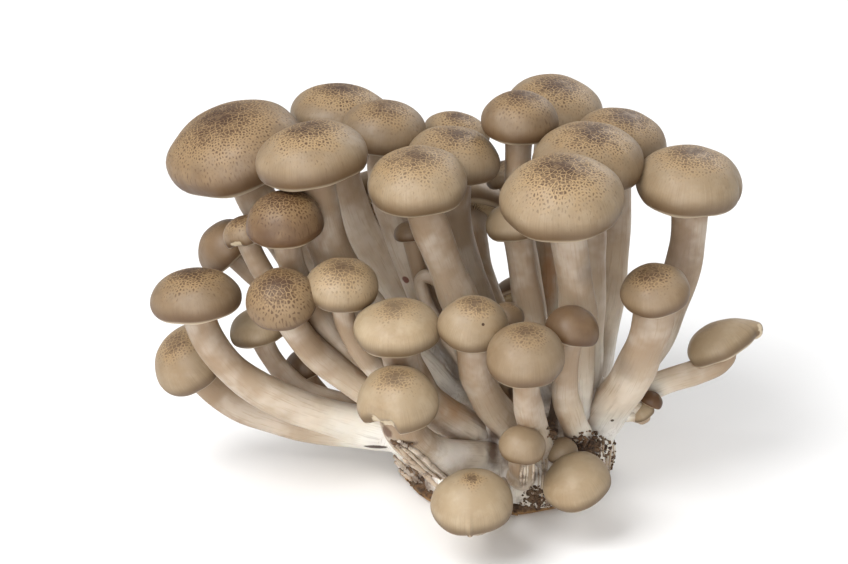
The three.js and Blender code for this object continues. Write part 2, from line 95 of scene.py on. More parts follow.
# %% Rows of the layout
Mushroom = namedtuple(
    "Mushroom", "name at width rise tilt stem skin root bow beak hurts",
    defaults=(None, (0, 0, 0), 0, ()),
)
M = Mushroom
MUSHROOMS = [
    M("cap_big_left", (-65.6, 78.9, 12), 33, 0.55, (-20, 30), (4.3, 4.6), (0.64, 1, 0.95)),
    M("cap_left_back", (-39.4, 86.8, 31), 23.6, 0.6, (4, 24), (4, 4.4), (0.42, 1, 0.85)),
    M("cap_left_top", (-28.8, 83.1, 15), 19.4, 0.7, (6, 30), (3.8, 4.4), (0.52, 0.8, 0.8)),
    M("cap_left_front", (-46.6, 76.8, -9), 25, 0.6, (-8, 24), (5, 6), (0.4, 1, 0.8), bow=(-2.5, 0, 0)),
    M("cap_dark_left", (-53, 61.2, -18), 17.6, 0.85, (-3, 26), (3.2, 4.6), (0.9, 1, 0.95)),
    M("cap_broken", (-62.8, 57.6, -5), 10.6, 0.8, (-20, 20), (2.4, 3), (0.6, 0.7, 0.9),
      hurts=(("bite", 118, 30, 0.1),)),
    M("cap_side_left", (-68.1, 54.4, 7), 15, 0.9, (-46, 14), (2.6, 3.2), (0.72, 0.2, 0.6)),
    M("cap_left_low", (-74.4, 42.8, -16), 20.4, 0.66, (-6, 20), (3.6, 4.8), (0.58, 1, 0.8)),
    M("cap_left_face", (-54, 41.9, -29), 15.6, 0.88, (-12, 52), (3.4, 4.4), (0.66, 0.8, 1.05)),
    M("cap_left_inner", (-39, 45.3, -26), 16, 0.7, (4, 36), (2.5, 3.6), (0.16, 0.6, 0.9)),
    M("cap_left_hidden", (-59.3, 35, -4), 14, 0.7, (-12, 22), (2.6, 3.2), (0.08, 0.05, 0.5)),
    M("cap_left_bottom", (-76.6, 27.5, -3), 18.6, 0.8, (-38, 38), (4, 4.8), (0.36, 0.6, 0.6),
      bow=(0, 0, -3)),
    M("button_left", (-48.6, 25.6, 6), 10.4, 0.9, (-22, 16), (2, 2.8), (0.8, 0.15, 0.6)),
    M("button_tiny", (-37, 26, -7), 4.4, 1, (-8, 12), (1.1, 1.8), (0.9, 0, 0.5)),
    M("cap_front_left", (-25.9, 35.2, -34), 18.8, 0.62, (-3, 30), (4.2, 5), (0.02, 0.45, 0.6)),
    M("cap_front_mid", (-7.4, 36.1, -36), 15.4, 0.85, (4, 36), (3.6, 4.4), (0.28, 0.6, 0.6)),
    M("button_mid", (0.9, 37.6, -19), 7.8, 0.9, (14, 18), (2, 2.8), (0.66, 0.3, 0.6)),
    M("cap_front_right", (5, 28.9, -46), 17.4, 0.85, (0, 34), (3.1, 4), (0.46, 0.5, 0.6)),
    M("cap_dark_right", (16.7, 35.2, -34), 12.2, 0.85, (14, 22), (2.9, 3), (0.82, 0, 0.5),
      root=(19, -17, 11)),
    M("cap_torn", (-25.9, 18.2, -45), 17.8, 0.85, (-6, 36), (4.2, 5), (0.14, 0.5, 0.6),
      hurts=(("bite", 120, 32, 0.22),)),
    M("button_front", (4.3, 6.7, -42), 10.2, 0.95, (4, 38), (2.8, 3.2), (0.42, 0, 0.5), root=(4, -16, 7)),
    M("cap_front_low", (-7.9, -6.3, -47), 17.6, 0.85, (-4, 36), (3, 3.4), (0.06, 0.6, 0.34),
      root=(0, -15, 10), hurts=(("nub", 95, 5, 0.05),)),
    M("cap_low_right", (16.8, -1.8, -38), 15.4, 0.8, (-20, 36), (2.9, 3.4), (0.14, 0, 0.5),
      root=(13, -14, 10)),
    M("button_low_right", (13.7, 5, -30), 7.4, 0.95, (-6, 30), (2.2, 2.8), (0.42, 0, 0.5),
      root=(12, -14, 9)),
    M("cap_mid_front", (-21.1, 70.6, -14), 22.8, 0.66, (-5, 30), (4, 5.2), (0.24, 0.75, 0.85),
      bow=(4.5, 0, 0)),
    M("cap_mid", (-12, 76.4, 6), 21.4, 0.6, (7, 28), (4.2, 5), (0.36, 0.85, 0.8)),
    M("cap_mid_back", (-11.5, 81.7, 25), 15.6, 0.6, (10, 26), (3.4, 4), (0.38, 0.85, 0.8)),
    M("button_mid_dark", (-22.8, 57.4, 6), 7.6, 0.8, (-8, 18), (1.9, 2.6), (0.7, 0.1, 0.5)),
    M("button_arched", (-11.3, 40.8, -2), 6.4, 0.9, (150, 8), (1.6, 2.2), (0.5, 0.1, 0.5),
      bow=(-11.2, -2, 4)),
    M("cap_top", (3.6, 85.5, 8), 18.2, 0.75, (2, 26), (3.2, 4), (0.62, 0.85, 0.85)),
    M("cap_top_back", (12.3, 88, 33), 24, 0.6, (8, 32), (4, 4.6), (0.42, 0.9, 0.8)),
    M("button_top_back", (-0.4, 71.2, 24), 9.6, 0.8, (-22, 20), (2.2, 3), (0.5, 0.5, 0.8)),
    M("cap_mid_low", (2.4, 60.2, -1), 14, 0.7, (-10, 22), (3.2, 4), (0.26, 0.1, 0.5)),
    M("cap_big_right", (13.7, 67.1, -27), 26.4, 0.7, (-4, 34), (3.9, 5.2), (0.3, 0.9, 0.85),
      bow=(3.5, 0, 0)),
    M("cap_right_mid", (20.4, 76.2, -3), 25, 0.62, (5, 30), (4.2, 4.8), (0.4, 0.95, 0.8), bow=(3, 0, 0)),
    M("cap_right_back", (28.2, 80.4, 18), 22.4, 0.62, (12, 28), (3.4, 4.2), (0.5, 0.9, 0.8), bow=(5, 0, 0)),
    M("cap_far_right", (44.4, 70.7, -4), 25, 0.66, (3, 26), (4.2, 4.6), (0.3, 0.8, 0.75),
      bow=(4, 0, 0), hurts=(("slit", 20, 6, 0.05),)),
    M("cap_right_low", (35.8, 44, -27), 15.8, 0.66, (-14, 34), (4.4, 5), (0.52, 0.7, 0.75), bow=(-3, 0, 0)),
    M("cap_beaked", (50.6, 31.2, -6), 15.2, 0.7, (-28, 12), (2.6, 3.2), (0.2, 0.15, 0.5),
      root=(21, -4, 17), bow=(0, 0, 6), beak=0.2, hurts=(("nub", 3, 9, 0.16), ("nub", 10, 5, 0.06))),
    M("button_twin", (35.4, 17, -11), 5.4, 0.9, (26, 14), (1.4, 2), (1, 0, 0.5), root=(25.5, -14, 24.5)),
    M("cap_rear_left", (-31, 66, 44), 23, 0.62, (-10, -20), (4.2, 4.8), (0.28, 0.9, 0.8)),
    M("cap_rear_mid", (-8, 64, 50), 20, 0.66, (0, -26), (3.8, 4.6), (0.4, 0.8, 0.8)),
    M("cap_rear_right", (16, 68, 47), 22, 0.62, (8, -22), (4, 4.6), (0.26, 0.95, 0.8)),
    M("cap_rear_low_left", (-19, 45, 51), 17, 0.8, (-8, -36), (3.4, 4.4), (0.3, 0.7, 0.7)),
    M("cap_rear_low", (4, 42, 54), 15, 0.85, (4, -38), (3, 4), (0.56, 0.5, 0.8)),
    M("cap_rear_low_right", (21, 50, 44), 17, 0.75, (12, -30), (3.6, 4.4), (0.3, 0.8, 0.7)),
    M("cap_rear_side", (-38, 44, 34), 15, 0.75, (-24, -18), (3, 4), (0.42, 0.6, 0.7)),
    M("button_twin_low", (32.7, 14.2, -12.5), 5.6, 0.9, (-32, 24), (1.3, 2), (0.12, 0, 0.5),
      root=(25, -14, 22)),
]
print(len(MUSHROOMS), "mushrooms laid out")

# %% [markdown]
# From the view to the room
#
# The eye stands in front and looks down by 22 degrees, as the photographer did. Reading the
# layout through that eye means that a cap's place in the picture and its place in the room
# are one number each, so a cap can be pushed deeper without leaving its place in the view.

# %% Eye, cap frames and stem curves
EYE_TILT = math.radians(22)
EYE_DISTANCE = 565
AIM = (-19.4, 44.9)
VIEW_RIGHT = Vector((1, 0, 0))
VIEW_UP = Vector((0, math.sin(EYE_TILT), math.cos(EYE_TILT)))
TO_EYE = Vector((0, -math.cos(EYE_TILT), math.sin(EYE_TILT)))
EYE = VIEW_RIGHT * AIM[0] + VIEW_UP * AIM[1] + TO_EYE * EYE_DISTANCE

ROOT_HEIGHT = 10
ROOT_SHIFT = 10
ROOT_SPREAD = 0.37
ROOT_LIMIT = 20
LEAN_OUT = 0.3  # how much less than its cap's axis a stem rises as it leaves the knot
LOW_REACH = 0.4  # how far the two middle control points stand off, of the stem's length
TOP_REACH = 0.34


def place(across, up, back):
    """The point in the room that shows at (across, up) and lies that far back."""
    shown = VIEW_RIGHT * across + VIEW_UP * up
    return EYE + (shown - EYE) * ((back - EYE.y) / (shown.y - EYE.y))


def cap_frame(row):
    """The cap's axis, its right and its near side, and the middle of its widest ring."""
    sideways, forward = (math.radians(turn) for turn in row.tilt)
    up = VIEW_RIGHT * (math.sin(sideways) * math.cos(forward))
    up += VIEW_UP * (math.cos(sideways) * math.cos(forward)) + TO_EYE * math.sin(forward)
    up.normalize()
    right = (VIEW_RIGHT - up * up.dot(VIEW_RIGHT)).normalized()
    near = right.cross(up)
    ring = place(*row.at) - up * ((row.rise - LIP_DROP) / 2 * row.width / 2)
    return up, right, near, ring


def stem_curve(row):
    """The four control points of the stem, from its root in the knot to the cap."""
    up, right, near, ring = cap_frame(row)
    end = ring - up * (CEILING * row.width / 2 + GAP)
    if row.root:
        root = Vector(row.root)
    else:
        root = Vector((ROOT_SHIFT + ROOT_SPREAD * end.x, ROOT_SPREAD * end.y, 0))
        root *= min(1, ROOT_LIMIT / root.length)
        root.z = ROOT_HEIGHT
    reach = (end - root).length
    leave = ((end - root) / reach - up * LEAN_OUT).normalized()
    bow = Vector(row.bow)
    return root, root + leave * (LOW_REACH * reach) + bow, end - up * (TOP_REACH * reach) + bow, end


def curve_point(points, share):
    """A point on the stem's curve, and the direction there."""
    a, b, c, d = points
    rest = 1 - share
    spot = a * rest**3 + b * (3 * rest**2 * share) + c * (3 * rest * share**2) + d * share**3
    along = (b - a) * rest**2 + (c - b) * (2 * rest * share) + (d - c) * share**2
    return spot, along.normalized()


# %% [markdown]
# Materials: two effects that everything shares
#
# Mushroom skin is never even. Broad soft clouds of colour come from how a cap met light and
# touch, and tiny dark specks are spores and dust of the growing bed. Caps, stems, gills and
# foot all have both, at other strengths, so each effect is a node group made once, with
# its strength and size as inputs, and put in every material.

# %% Node helpers
def colour(r, g, b):
    """A colour as seen on the screen, turned into the linear light that nodes use."""
    def linear(part):
        part /= 255
        return part / 12.92 if part <= 0.04045 else ((part + 0.055) / 1.055) ** 2.4

    return (linear(r), linear(g), linear(b), 1)


class Nodes:
    """Short ways to add and link the nodes of one tree."""

    def __init__(self, tree):
        self.tree = tree

    def feed(self, socket, value):
        """Links a socket to an output, or sets it to a value."""
        if isinstance(value, bpy.types.NodeSocket):
            self.tree.links.new(value, socket)
        else:
            socket.default_value = value

    def feed_all(self, node, **values):
        """Feeds inputs of a node by their names, and returns its outputs."""
        for name, value in values.items():
            self.feed(node.inputs[name.title()], value)
        return node.outputs

    def add(self, kind, *inputs, **values):
        """A new node with its properties set and its first inputs fed."""
        node = self.tree.nodes.new("ShaderNode" + kind)
        for name, value in values.items():
            setattr(node, name, value)
        for socket, value in zip(node.inputs, inputs):
            self.feed(socket, value)
        return node

    def math(self, operation, a, b, clamp=False):
        """One sum."""
        return self.add("Math", a, b, operation=operation, use_clamp=clamp).outputs[0]

    times = partialmethod(math, "MULTIPLY")
    plus = partialmethod(math, "ADD")
    minus = partialmethod(math, "SUBTRACT")

    def vector(self, operation, *inputs):
        """A sum of vectors; a length comes out second."""
        return self.add("VectorMath", *inputs, operation=operation).outputs

    def ramp(self, value, low, high, start=0.0, end=1.0):
        """Goes smoothly from start to end while the value goes from low to high."""
        node = self.add("MapRange", value, low, high, start, end, interpolation_type="SMOOTHSTEP")
        return node.outputs[0]

    def mix(self, factor, first, second):
        """Two colours mixed by a factor."""
        node = self.add("Mix", factor, data_type="RGBA")
        self.feed(node.inputs[6], first)
        self.feed(node.inputs[7], second)
        return node.outputs[2]

    def noise(self, vector, scale, detail=2.0, rough=0.5, out="Fac"):
        """A cloudy value round one half, or as Color three of them."""
        given = {"vector": vector, "scale": scale, "detail": detail, "roughness": rough}
        return self.feed_all(self.add("TexNoise"), **given)[out]

    def ragged(self, vector, scale, amount, rough=0.5):
        """A cloudy value round nought, that much from end to end."""
        return self.times(self.minus(self.noise(vector, scale, 3.0, rough), 0.5), amount)

    def stretch(self, vector, scale):
        """A vector with each part multiplied."""
        return self.vector("MULTIPLY", vector, scale)[0]

    def attribute(self, name):
        """The vector that the mesh keeps under this name, whole and as three values."""
        whole = self.add("Attribute", attribute_name=name).outputs["Vector"]
        return whole, self.add("SeparateXYZ", whole).outputs

    def here(self):
        """The place in the room, which is the piece's own Object coordinate."""
        return self.add("TexCoord").outputs["Object"]

    def group(self, tree, **values):
        """The colour that a placed node group puts out, with its inputs set."""
        return self.feed_all(self.add("Group", node_tree=tree), **values)["Color"]

    def bump(self, height, strength, distance):
        """A normal that follows a height."""
        given = {"height": height, "strength": strength, "distance": distance}
        return self.feed_all(self.add("Bump"), **given)[0]


def new_group(name, inputs):
    """An empty node group that puts out a colour: tree, helper, inputs, colour socket."""
    tree = bpy.data.node_groups.new(name, "ShaderNodeTree")
    for label, kind in inputs.items():
        tree.interface.new_socket(label, in_out="INPUT", socket_type="NodeSocket" + kind)
    tree.interface.new_socket("Color", in_out="OUTPUT", socket_type="NodeSocketColor")
    start = tree.nodes.new("NodeGroupInput")
    end = tree.nodes.new("NodeGroupOutput")
    return tree, Nodes(tree), start.outputs, end.inputs["Color"]


def new_material(name):
    """A material with its helper and its one Principled shader."""
    material = bpy.data.materials.new(name)
    material.use_nodes = True
    return material, Nodes(material.node_tree), material.node_tree.nodes["Principled BSDF"]


def soften(shader, weight, reach):
    """Light goes a little way into soft flesh, red light furthest."""
    shader.inputs["Subsurface Weight"].default_value = weight
    shader.inputs["Subsurface Radius"].default_value = reach
    shader.inputs["Subsurface Scale"].default_value = 1.0


# %% Group: soft clouds of a second colour
clouds, n, given, out = new_group(
    "soft_clouds", {"Base": "Color", "Tint": "Color", "Place": "Vector", "Scale": "Float", "Amount": "Float"}
)
broad = n.noise(given["Place"], given["Scale"], 3.0, 0.55)
mask = n.times(n.ramp(broad, 0.4, 0.68), given["Amount"])
n.feed(out, n.mix(mask, given["Base"], given["Tint"]))

# %% Group: sparse dark specks
specks, n, given, out = new_group("sparse_specks", {
    "Base": "Color", "Speck": "Color", "Place": "Vector", "Scale": "Float", "Share": "Float", "Size": "Float",
})
cells = n.feed_all(n.add("TexVoronoi", feature="F1"), vector=given["Place"], scale=given["Scale"])
chance = n.add("SeparateColor", cells["Color"]).outputs
chosen = n.math("LESS_THAN", chance[0], given["Share"])
dot = n.math("LESS_THAN", cells["Distance"], n.times(given["Size"], n.plus(chance[1], 0.4)))
n.feed(out, n.mix(n.times(chosen, dot), given["Base"], given["Speck"]))
print("node groups:", [tree.name for tree in bpy.data.node_groups])

# %% [markdown]
# Material: the skin of a cap
#
# The skin is tan and satin. In the middle of the cap it breaks into a net: brown patches
# with cream lines between them. Further out the patches shrink to dots and then vanish, and
# the margin is plain and a little greyer, and darker towards the rolled rim, which is painted
# shade. A thin pale line runs where the skin rolls under, partly its own paler edge and partly
# painted reflection of the pale floor.
# A Voronoi texture's distance to the cells' edges makes all of that at once: a threshold on
# it leaves large patches where it is low and small dots where it is high, so the threshold
# simply rises from the middle outwards. The mesh says where the middle is: the attribute
# `place` keeps each vertex's place on the unit cap, `skin` the same in millimetres, where
# the cells are flat and whole, and `mood` the row's dark, net and reach.

# %% The cap's skin
TAN = colour(158, 139, 111)
TAN_WARM = colour(140, 116, 84)
TAN_PALE = colour(180, 164, 138)
# the greyer margin, and also the painted shade of the lower rim
MARGIN_AND_SHADE = colour(97, 77, 53)
BROWN = colour(72, 43, 16)
BROWN_GREY = colour(90, 63, 37)
BROWN_DEEP = colour(60, 36, 17)
HALO = colour(86, 55, 25)
CREAM = colour(176, 147, 104)
# pale rim, partly its own colour and partly painted reflection of the floor
PALE_RIM_AND_REFLECTION = colour(190, 173, 148)
BARE = colour(188, 172, 146)

cap_skin, n, shader = new_material("cap_skin")
here = n.here()
whole, spot = n.attribute("place")
dark, net_share, reach = n.attribute("mood")[1]
flat = n.stretch(whole, (1, 1, 0))
length = n.vector("LENGTH", flat)[1]
under = n.ramp(spot[2], 0.02, -0.1)
radius = n.plus(n.plus(length, n.ragged(here, 320, 0.5)), under)

warm = n.group(clouds, base=TAN, tint=TAN_WARM, place=here, scale=130.0, amount=0.6)
paled = n.group(clouds, base=warm, tint=TAN_PALE, place=here, scale=260.0, amount=0.45)
outward = n.math("DIVIDE", radius, n.times(reach, 1.14))
halo = n.times(n.times(n.ramp(outward, 1.0, 0.1), net_share), 0.78)
shaded = n.mix(halo, paled, HALO)

streaks = n.vector("NORMALIZE", flat)[0]
rays = n.noise(n.stretch(streaks, (26, 26, 1)), 1.6, 2.0, 0.6)
near_rim = n.ramp(radius, 0.7, 1.05, 0.0, 0.16)
rayed = n.mix(n.times(n.ramp(rays, 0.42, 0.62), near_rim), shaded, MARGIN_AND_SHADE)
# painted shade: the cap darker towards its rolled rim, below the widest ring
shaded_margin = n.mix(n.ramp(spot[2], 0.2, -0.14, 0.0, 0.85), rayed, MARGIN_AND_SHADE)
brown = n.mix(n.ramp(n.noise(here, 190, 3.0), 0.3, 0.7), BROWN, BROWN_GREY)
darkened = n.mix(dark, shaded_margin, brown)

# The net: size of the cells in millimetres, threshold in the middle and at the net's end
wander = n.stretch(n.noise(here, 900, out="Color"), (0.5, 0.5, 0))
wander = n.vector("ADD", n.attribute("skin")[0], wander)[0]
patches = []
for size, low, high in ((1.1, 0.0, 0.25), (0.74, 0.04, 0.37)):
    cells = n.add("TexVoronoi", feature="DISTANCE_TO_EDGE", voronoi_dimensions="2D")
    cells = n.feed_all(cells, vector=wander, scale=1 / size)
    threshold = n.plus(n.times(outward, high - low), low)
    patches.append(n.ramp(n.minus(cells["Distance"], threshold), -0.04, 0.05))
centre = n.ramp(outward, 0.75, 0.15)
coarse = n.times(patches[0], centre)
dots = n.times(patches[1], n.minus(1.0, centre))
uneven = n.ramp(n.noise(here, 420, 2.0), 0.3, 0.55, 0.55, 1.0)
spots = n.times(n.plus(coarse, dots, clamp=True), uneven)
net = n.times(n.times(spots, n.ramp(outward, 1.2, 0.5)), net_share, clamp=True)
lines = n.times(n.times(n.minus(1.0, spots), n.ramp(outward, 1.0, 0.45)), net_share)
netted = n.mix(n.times(lines, n.ramp(dark, 0.1, 1.0, 0.78, 0.4)), darkened, CREAM)
spotted = n.mix(n.times(net, 0.86), netted, n.mix(centre, BROWN, BROWN_DEEP))
specked = n.group(specks, base=spotted, speck=BROWN_DEEP, place=here, scale=150.0, share=0.05, size=0.05)

# The pale line where the skin rolls under, partly its own paler edge and partly painted
# reflection of the pale floor, and the bare flesh of torn places
# partly painted reflection: the downward underside of the rolled rim made paler
edge = n.times(n.ramp(spot[2], -0.17, -0.25), n.ramp(length, 0.8, 0.88))
rimmed_and_reflected = n.mix(n.times(edge, 0.85), specked, PALE_RIM_AND_REFLECTION)
wound = n.attribute("wound")[1]
torn = n.ramp(n.plus(wound[0], n.ragged(here, 700, 0.7)), 0.4, 0.6)
n.feed(shader.inputs["Base Color"], n.mix(torn, rimmed_and_reflected, BARE))
n.feed(shader.inputs["Roughness"], n.ramp(n.noise(here, 420, 2.0), 0.2, 0.8, 0.42, 0.6))
relief = n.plus(n.times(n.noise(here, 900, 3.0), 0.6), n.times(net, 0.5))
n.feed(shader.inputs["Normal"], n.bump(relief, 0.35, 0.0003))
soften(shader, 0.08, (0.0016, 0.001, 0.0006))
shader.inputs["Specular IOR Level"].default_value = 0.42

# %% [markdown]
# Material: stem flesh and gills
#
# A stem is a bundle of fine fibres, so its streaks run along it however it bends. Object
# coordinates can't do that, because they don't bend. The stem's mesh keeps its own place in
# the attribute `grain`: round the stem in the first two parts and along it in the third,
# and a noise squeezed along the third part draws the fibres. A stem is white at its root,
# partly its own white and partly painted light, and tan below its cap, partly its own tan and
# partly painted shade, so `share` keeps how far up its own stem each point is.

# %% Flesh
FLESH = colour(196, 180, 158)
# the tan of the flesh, also the painted shade below the caps
FLESH_TAN_AND_SHADE = colour(142, 119, 94)
THREAD = colour(158, 134, 108)
# the brown of the painted shade deep between the stems
HOLLOW_SHADE_BROWN = colour(126, 92, 60)
FLESH_WHITE = colour(242, 235, 224)
BRUISE = colour(144, 122, 98)
RUST = colour(172, 122, 74)
DIRT = colour(70, 50, 34)

flesh, n, shader = new_material("flesh")
here = n.here()
grain = n.attribute("grain")[0]
rust, dirt, threads = n.attribute("age")[1]
share = n.attribute("share")[1]
hollow = n.attribute("hollow")[1]
base = n.group(clouds, base=FLESH, tint=FLESH_TAN_AND_SHADE, place=here, scale=45.0, amount=0.4)
# partly painted light at the root and partly painted shade below the cap; the rest is the flesh's own white
# and tan
root_white_and_light = n.mix(n.ramp(share[0], 0.46, 0.14, 0.0, 0.95), base, FLESH_WHITE)
shaded_below_cap = n.mix(n.ramp(share[0], 0.3, 0.85, 0.0, 0.92), root_white_and_light, FLESH_TAN_AND_SHADE)
whiter = n.group(clouds, base=shaded_below_cap, tint=FLESH_WHITE, place=here, scale=95.0, amount=0.28)
# painted shade: browner where the measured hollow is deep between the stems
hollow_shade = n.mix(n.ramp(hollow[0], 0.32, 1.0, 0.0, 0.68), whiter, HOLLOW_SHADE_BROWN)
fibre = n.noise(n.stretch(grain, (1.0, 1.0, 0.05)), 2.6, 4.0, 0.62)
fine = n.noise(n.stretch(grain, (1.0, 1.0, 0.02)), 6.5, 2.0, 0.5)
lined = n.mix(n.ramp(fibre, 0.5, 0.72, 0.0, 0.4), hollow_shade, FLESH_TAN_AND_SHADE)
bruised = n.group(clouds, base=lined, tint=BRUISE, place=here, scale=120.0, amount=0.26)
threaded = n.mix(n.times(threads, 0.85), bruised, THREAD)
aged = n.mix(n.times(rust, 0.8, clamp=True), threaded, RUST)
grubby = n.times(dirt, n.ramp(n.noise(here, 420, 4.0, 0.65), 0.46, 0.62), clamp=True)
dirty = n.mix(grubby, aged, DIRT)
flesh_colour = n.group(specks, base=dirty, speck=DIRT, place=here, scale=170.0, share=0.04, size=0.06)
flesh_nodes, flesh_shader = n, shader
n.feed(shader.inputs["Roughness"], n.ramp(fibre, 0.3, 0.7, 0.46, 0.62))
n.feed(shader.inputs["Normal"], n.bump(n.plus(fibre, n.times(fine, 0.35)), 0.3, 0.0004))
soften(shader, 0.2, (0.0036, 0.002, 0.0011))
shader.inputs["Specular IOR Level"].default_value = 0.4

# %% Gills
GILL = colour(222, 204, 172)
# a darker gill tone, also the painted shade deep under the cap
GILL_DARK_AND_SHADE = colour(180, 152, 114)

gill, n, shader = new_material("gill")
here = n.here()
spot = n.attribute("place")[1]
creamy = n.group(clouds, base=GILL, tint=GILL_DARK_AND_SHADE, place=here, scale=240.0, amount=0.5)
# painted shade: the gills darker higher up, deep under the cap
shaded_deep = n.mix(n.ramp(spot[2], -0.24, -0.13), creamy, GILL_DARK_AND_SHADE)
dusted = n.group(specks, base=shaded_deep, speck=DIRT, place=here, scale=300.0, share=0.02, size=0.05)
n.feed(shader.inputs["Base Color"], dusted)
n.feed(shader.inputs["Roughness"], n.ramp(n.noise(here, 500, 2.0), 0.3, 0.7, 0.6, 0.78))
n.feed(shader.inputs["Normal"], n.bump(n.noise(here, 1300, 3.0), 0.3, 0.0002))
soften(shader, 0.1, (0.002, 0.0014, 0.0009))

# %% Sawdust
CUT = colour(148, 114, 74)
CRUMB = colour(52, 34, 21)
CRUMB_LIGHT = colour(116, 84, 54)

sawdust, n, shader = new_material("sawdust")
here = n.here()
height = n.add("SeparateXYZ", here).outputs[2]
grains = n.group(clouds, base=CRUMB, tint=CRUMB_LIGHT, place=here, scale=700.0, amount=0.7)
threads = n.group(clouds, base=grains, tint=FLESH_TAN_AND_SHADE, place=here, scale=330.0, amount=0.4)
low = n.times(n.ramp(height, 0.0017, 0.0007), n.ramp(n.noise(here, 300, 3.0), 0.3, 0.5))
cut = n.mix(low, threads, CUT)
dusted = n.group(specks, base=cut, speck=CRUMB, place=here, scale=800.0, share=0.3, size=0.25)
n.feed(shader.inputs["Base Color"], dusted)
n.feed(shader.inputs["Roughness"], n.ramp(n.noise(here, 900, 2.0), 0.3, 0.7, 0.8, 0.95))
n.feed(shader.inputs["Normal"], n.bump(n.noise(here, 1400, 4.0, 0.65), 0.7, 0.0006))
print("materials:", [m.name for m in (cap_skin, flesh, gill, sawdust)])

# %% [markdown]
# The pattern cap
#
# A cap is a dome whose rim rolls under, with gills hanging inside it. Its outline could be
# drawn and spun, or a sphere could be cut in half, but a sphere has no rolled rim. Here the
# widest ring is a circle, and extruding it ring by ring, with a resize after each step, gives
# the dome above it and then the roll below it. The result is a cap of radius 1 whose dome is
# 1 high, so that each copy can have its own width and height.

# %% Small helpers of the modelling
def deselect():
    """Operators act on all that is selected, so every step starts with nothing selected."""
    for obj in bpy.context.view_layer.objects:
        obj.select_set(False)


def pick(*objects):
    """Selects these objects only, and makes the first one active."""
    deselect()
    for obj in objects:
        obj.select_set(True)
    bpy.context.view_layer.objects.active = objects[0]


def edit_all():
    """Goes into edit mode with everything selected."""
    bpy.ops.object.mode_set(mode="EDIT")
    bpy.ops.mesh.select_all(action="SELECT")


def leave_edit(outwards=False):
    """Goes back to object mode, if asked with all faces turned outwards."""
    if outwards:
        bpy.ops.mesh.select_all(action="SELECT")
        bpy.ops.mesh.normals_make_consistent(inside=False)
    bpy.ops.object.mode_set(mode="OBJECT")


def new_circle(name, sides, fill="NGON"):
    """A circle of radius 1, in edit mode with everything selected."""
    deselect()
    bpy.ops.mesh.primitive_circle_add(vertices=sides, radius=1, fill_type=fill)
    circle = bpy.context.active_object
    circle.name = name
    edit_all()
    return circle


def add_object(name, data):
    """A new object of the scene, round data that is made already."""
    obj = bpy.data.objects.new(name, data)
    bpy.context.scene.collection.objects.link(obj)
    return obj


def apply_modifier(obj, kind, **values):
    """Adds a modifier, sets it and applies it to the mesh."""
    pick(obj)
    modifier = obj.modifiers.new(kind.title(), kind)
    for name, value in values.items():
        setattr(modifier, name, value)
    bpy.ops.object.modifier_apply(modifier=modifier.name)


def get_points(mesh):
    """The mesh's vertices as an array."""
    points = np.empty(len(mesh.vertices) * 3, np.float32)
    mesh.vertices.foreach_get("co", points)
    return points.reshape(-1, 3).astype(float)


def set_points(mesh, points):
    """Moves the mesh's vertices to the array's places."""
    mesh.vertices.foreach_set("co", points.astype(np.float32).ravel())
    mesh.update()


def note(mesh, name, values):
    """Keeps a vector for each vertex, which a material can read by its name."""
    attribute = mesh.attributes.new(name, "FLOAT_VECTOR", "POINT")
    attribute.data.foreach_set("vector", np.asarray(values, np.float32).ravel())


def smooth(obj):
    """Shades every face smooth."""
    obj.data.polygons.foreach_set("use_smooth", [True] * len(obj.data.polygons))


# %% Model the cap
Profile = namedtuple("Profile", "sides dome_rings blades")
FINE = Profile(72, 16, 44)
SMALL = Profile(44, 10, 30)
GILL_IN = 0.26  # where a blade starts by the stem, of the radius
GILL_OUT = 0.79  # where it meets the rolled rim
RIM_TURN = 0.15  # how far the rim turns in while it goes down
RIM_STEPS = 6
LAST_RING = 0.3  # the last ring before the middle, of the one before it
SLACK = 0.002
ROOF = ((0.818, -0.256), (0.79, -0.215), (0.775, -0.165), (0.73, -0.14), (0.5, -0.125), (0.2, -CEILING))


def extrude_ring(was, new):
    """Extrudes the selected ring from one (radius, height) to the next."""
    bpy.ops.mesh.extrude_region_move(TRANSFORM_OT_translate={"value": (0, 0, new[1] - was[1])})
    size = new[0] / was[0]
    bpy.ops.transform.resize(value=(size, size, 1))
    return new


def select_ring(obj, radius, height):
    """Selects in edit mode the vertices at this radius and height."""
    bpy.ops.object.mode_set(mode="OBJECT")
    for vertex in obj.data.vertices:
        close = abs(math.hypot(vertex.co.x, vertex.co.y) - radius) < SLACK
        vertex.select = close and abs(vertex.co.z - height) < SLACK
    for edge in obj.data.edges:
        edge.select = all(obj.data.vertices[i].select for i in edge.vertices)
    bpy.ops.object.mode_set(mode="EDIT")


def close_middle(at, height):
    """Extrudes one last small ring and merges it into a point."""
    extrude_ring(at, (at[0] * LAST_RING, height))
    bpy.ops.mesh.merge(type="CENTER")


def rim_profile():
    """The rolled rim and the ceiling over the gills, from the widest ring to the middle."""
    rim = []
    for step in range(1, RIM_STEPS + 1):
        turn = 0.5 * math.pi * step / RIM_STEPS
        rim.append((1 - RIM_TURN * (1 - math.cos(turn)), -LIP_DROP * math.sin(turn)))
    return [*rim, *ROOF]


def model_cap(name, profile):
    """The cap's flesh: a ring extruded up into a dome and down into a rolled rim."""
    cap = new_circle(name, profile.sides, "NOTHING")
    bpy.ops.mesh.select_mode(type="VERT")
    at = (1, 0)
    for step in range(1, profile.dome_rings):
        turn = 0.5 * math.pi * step / profile.dome_rings
        at = extrude_ring(at, (math.cos(turn), math.sin(turn)))
    close_middle(at, 1)
    select_ring(cap, 1, 0)
    at = (1, 0)
    for ring in rim_profile():
        at = extrude_ring(at, ring)
    close_middle(at, at[1])
    leave_edit(outwards=True)
    return cap


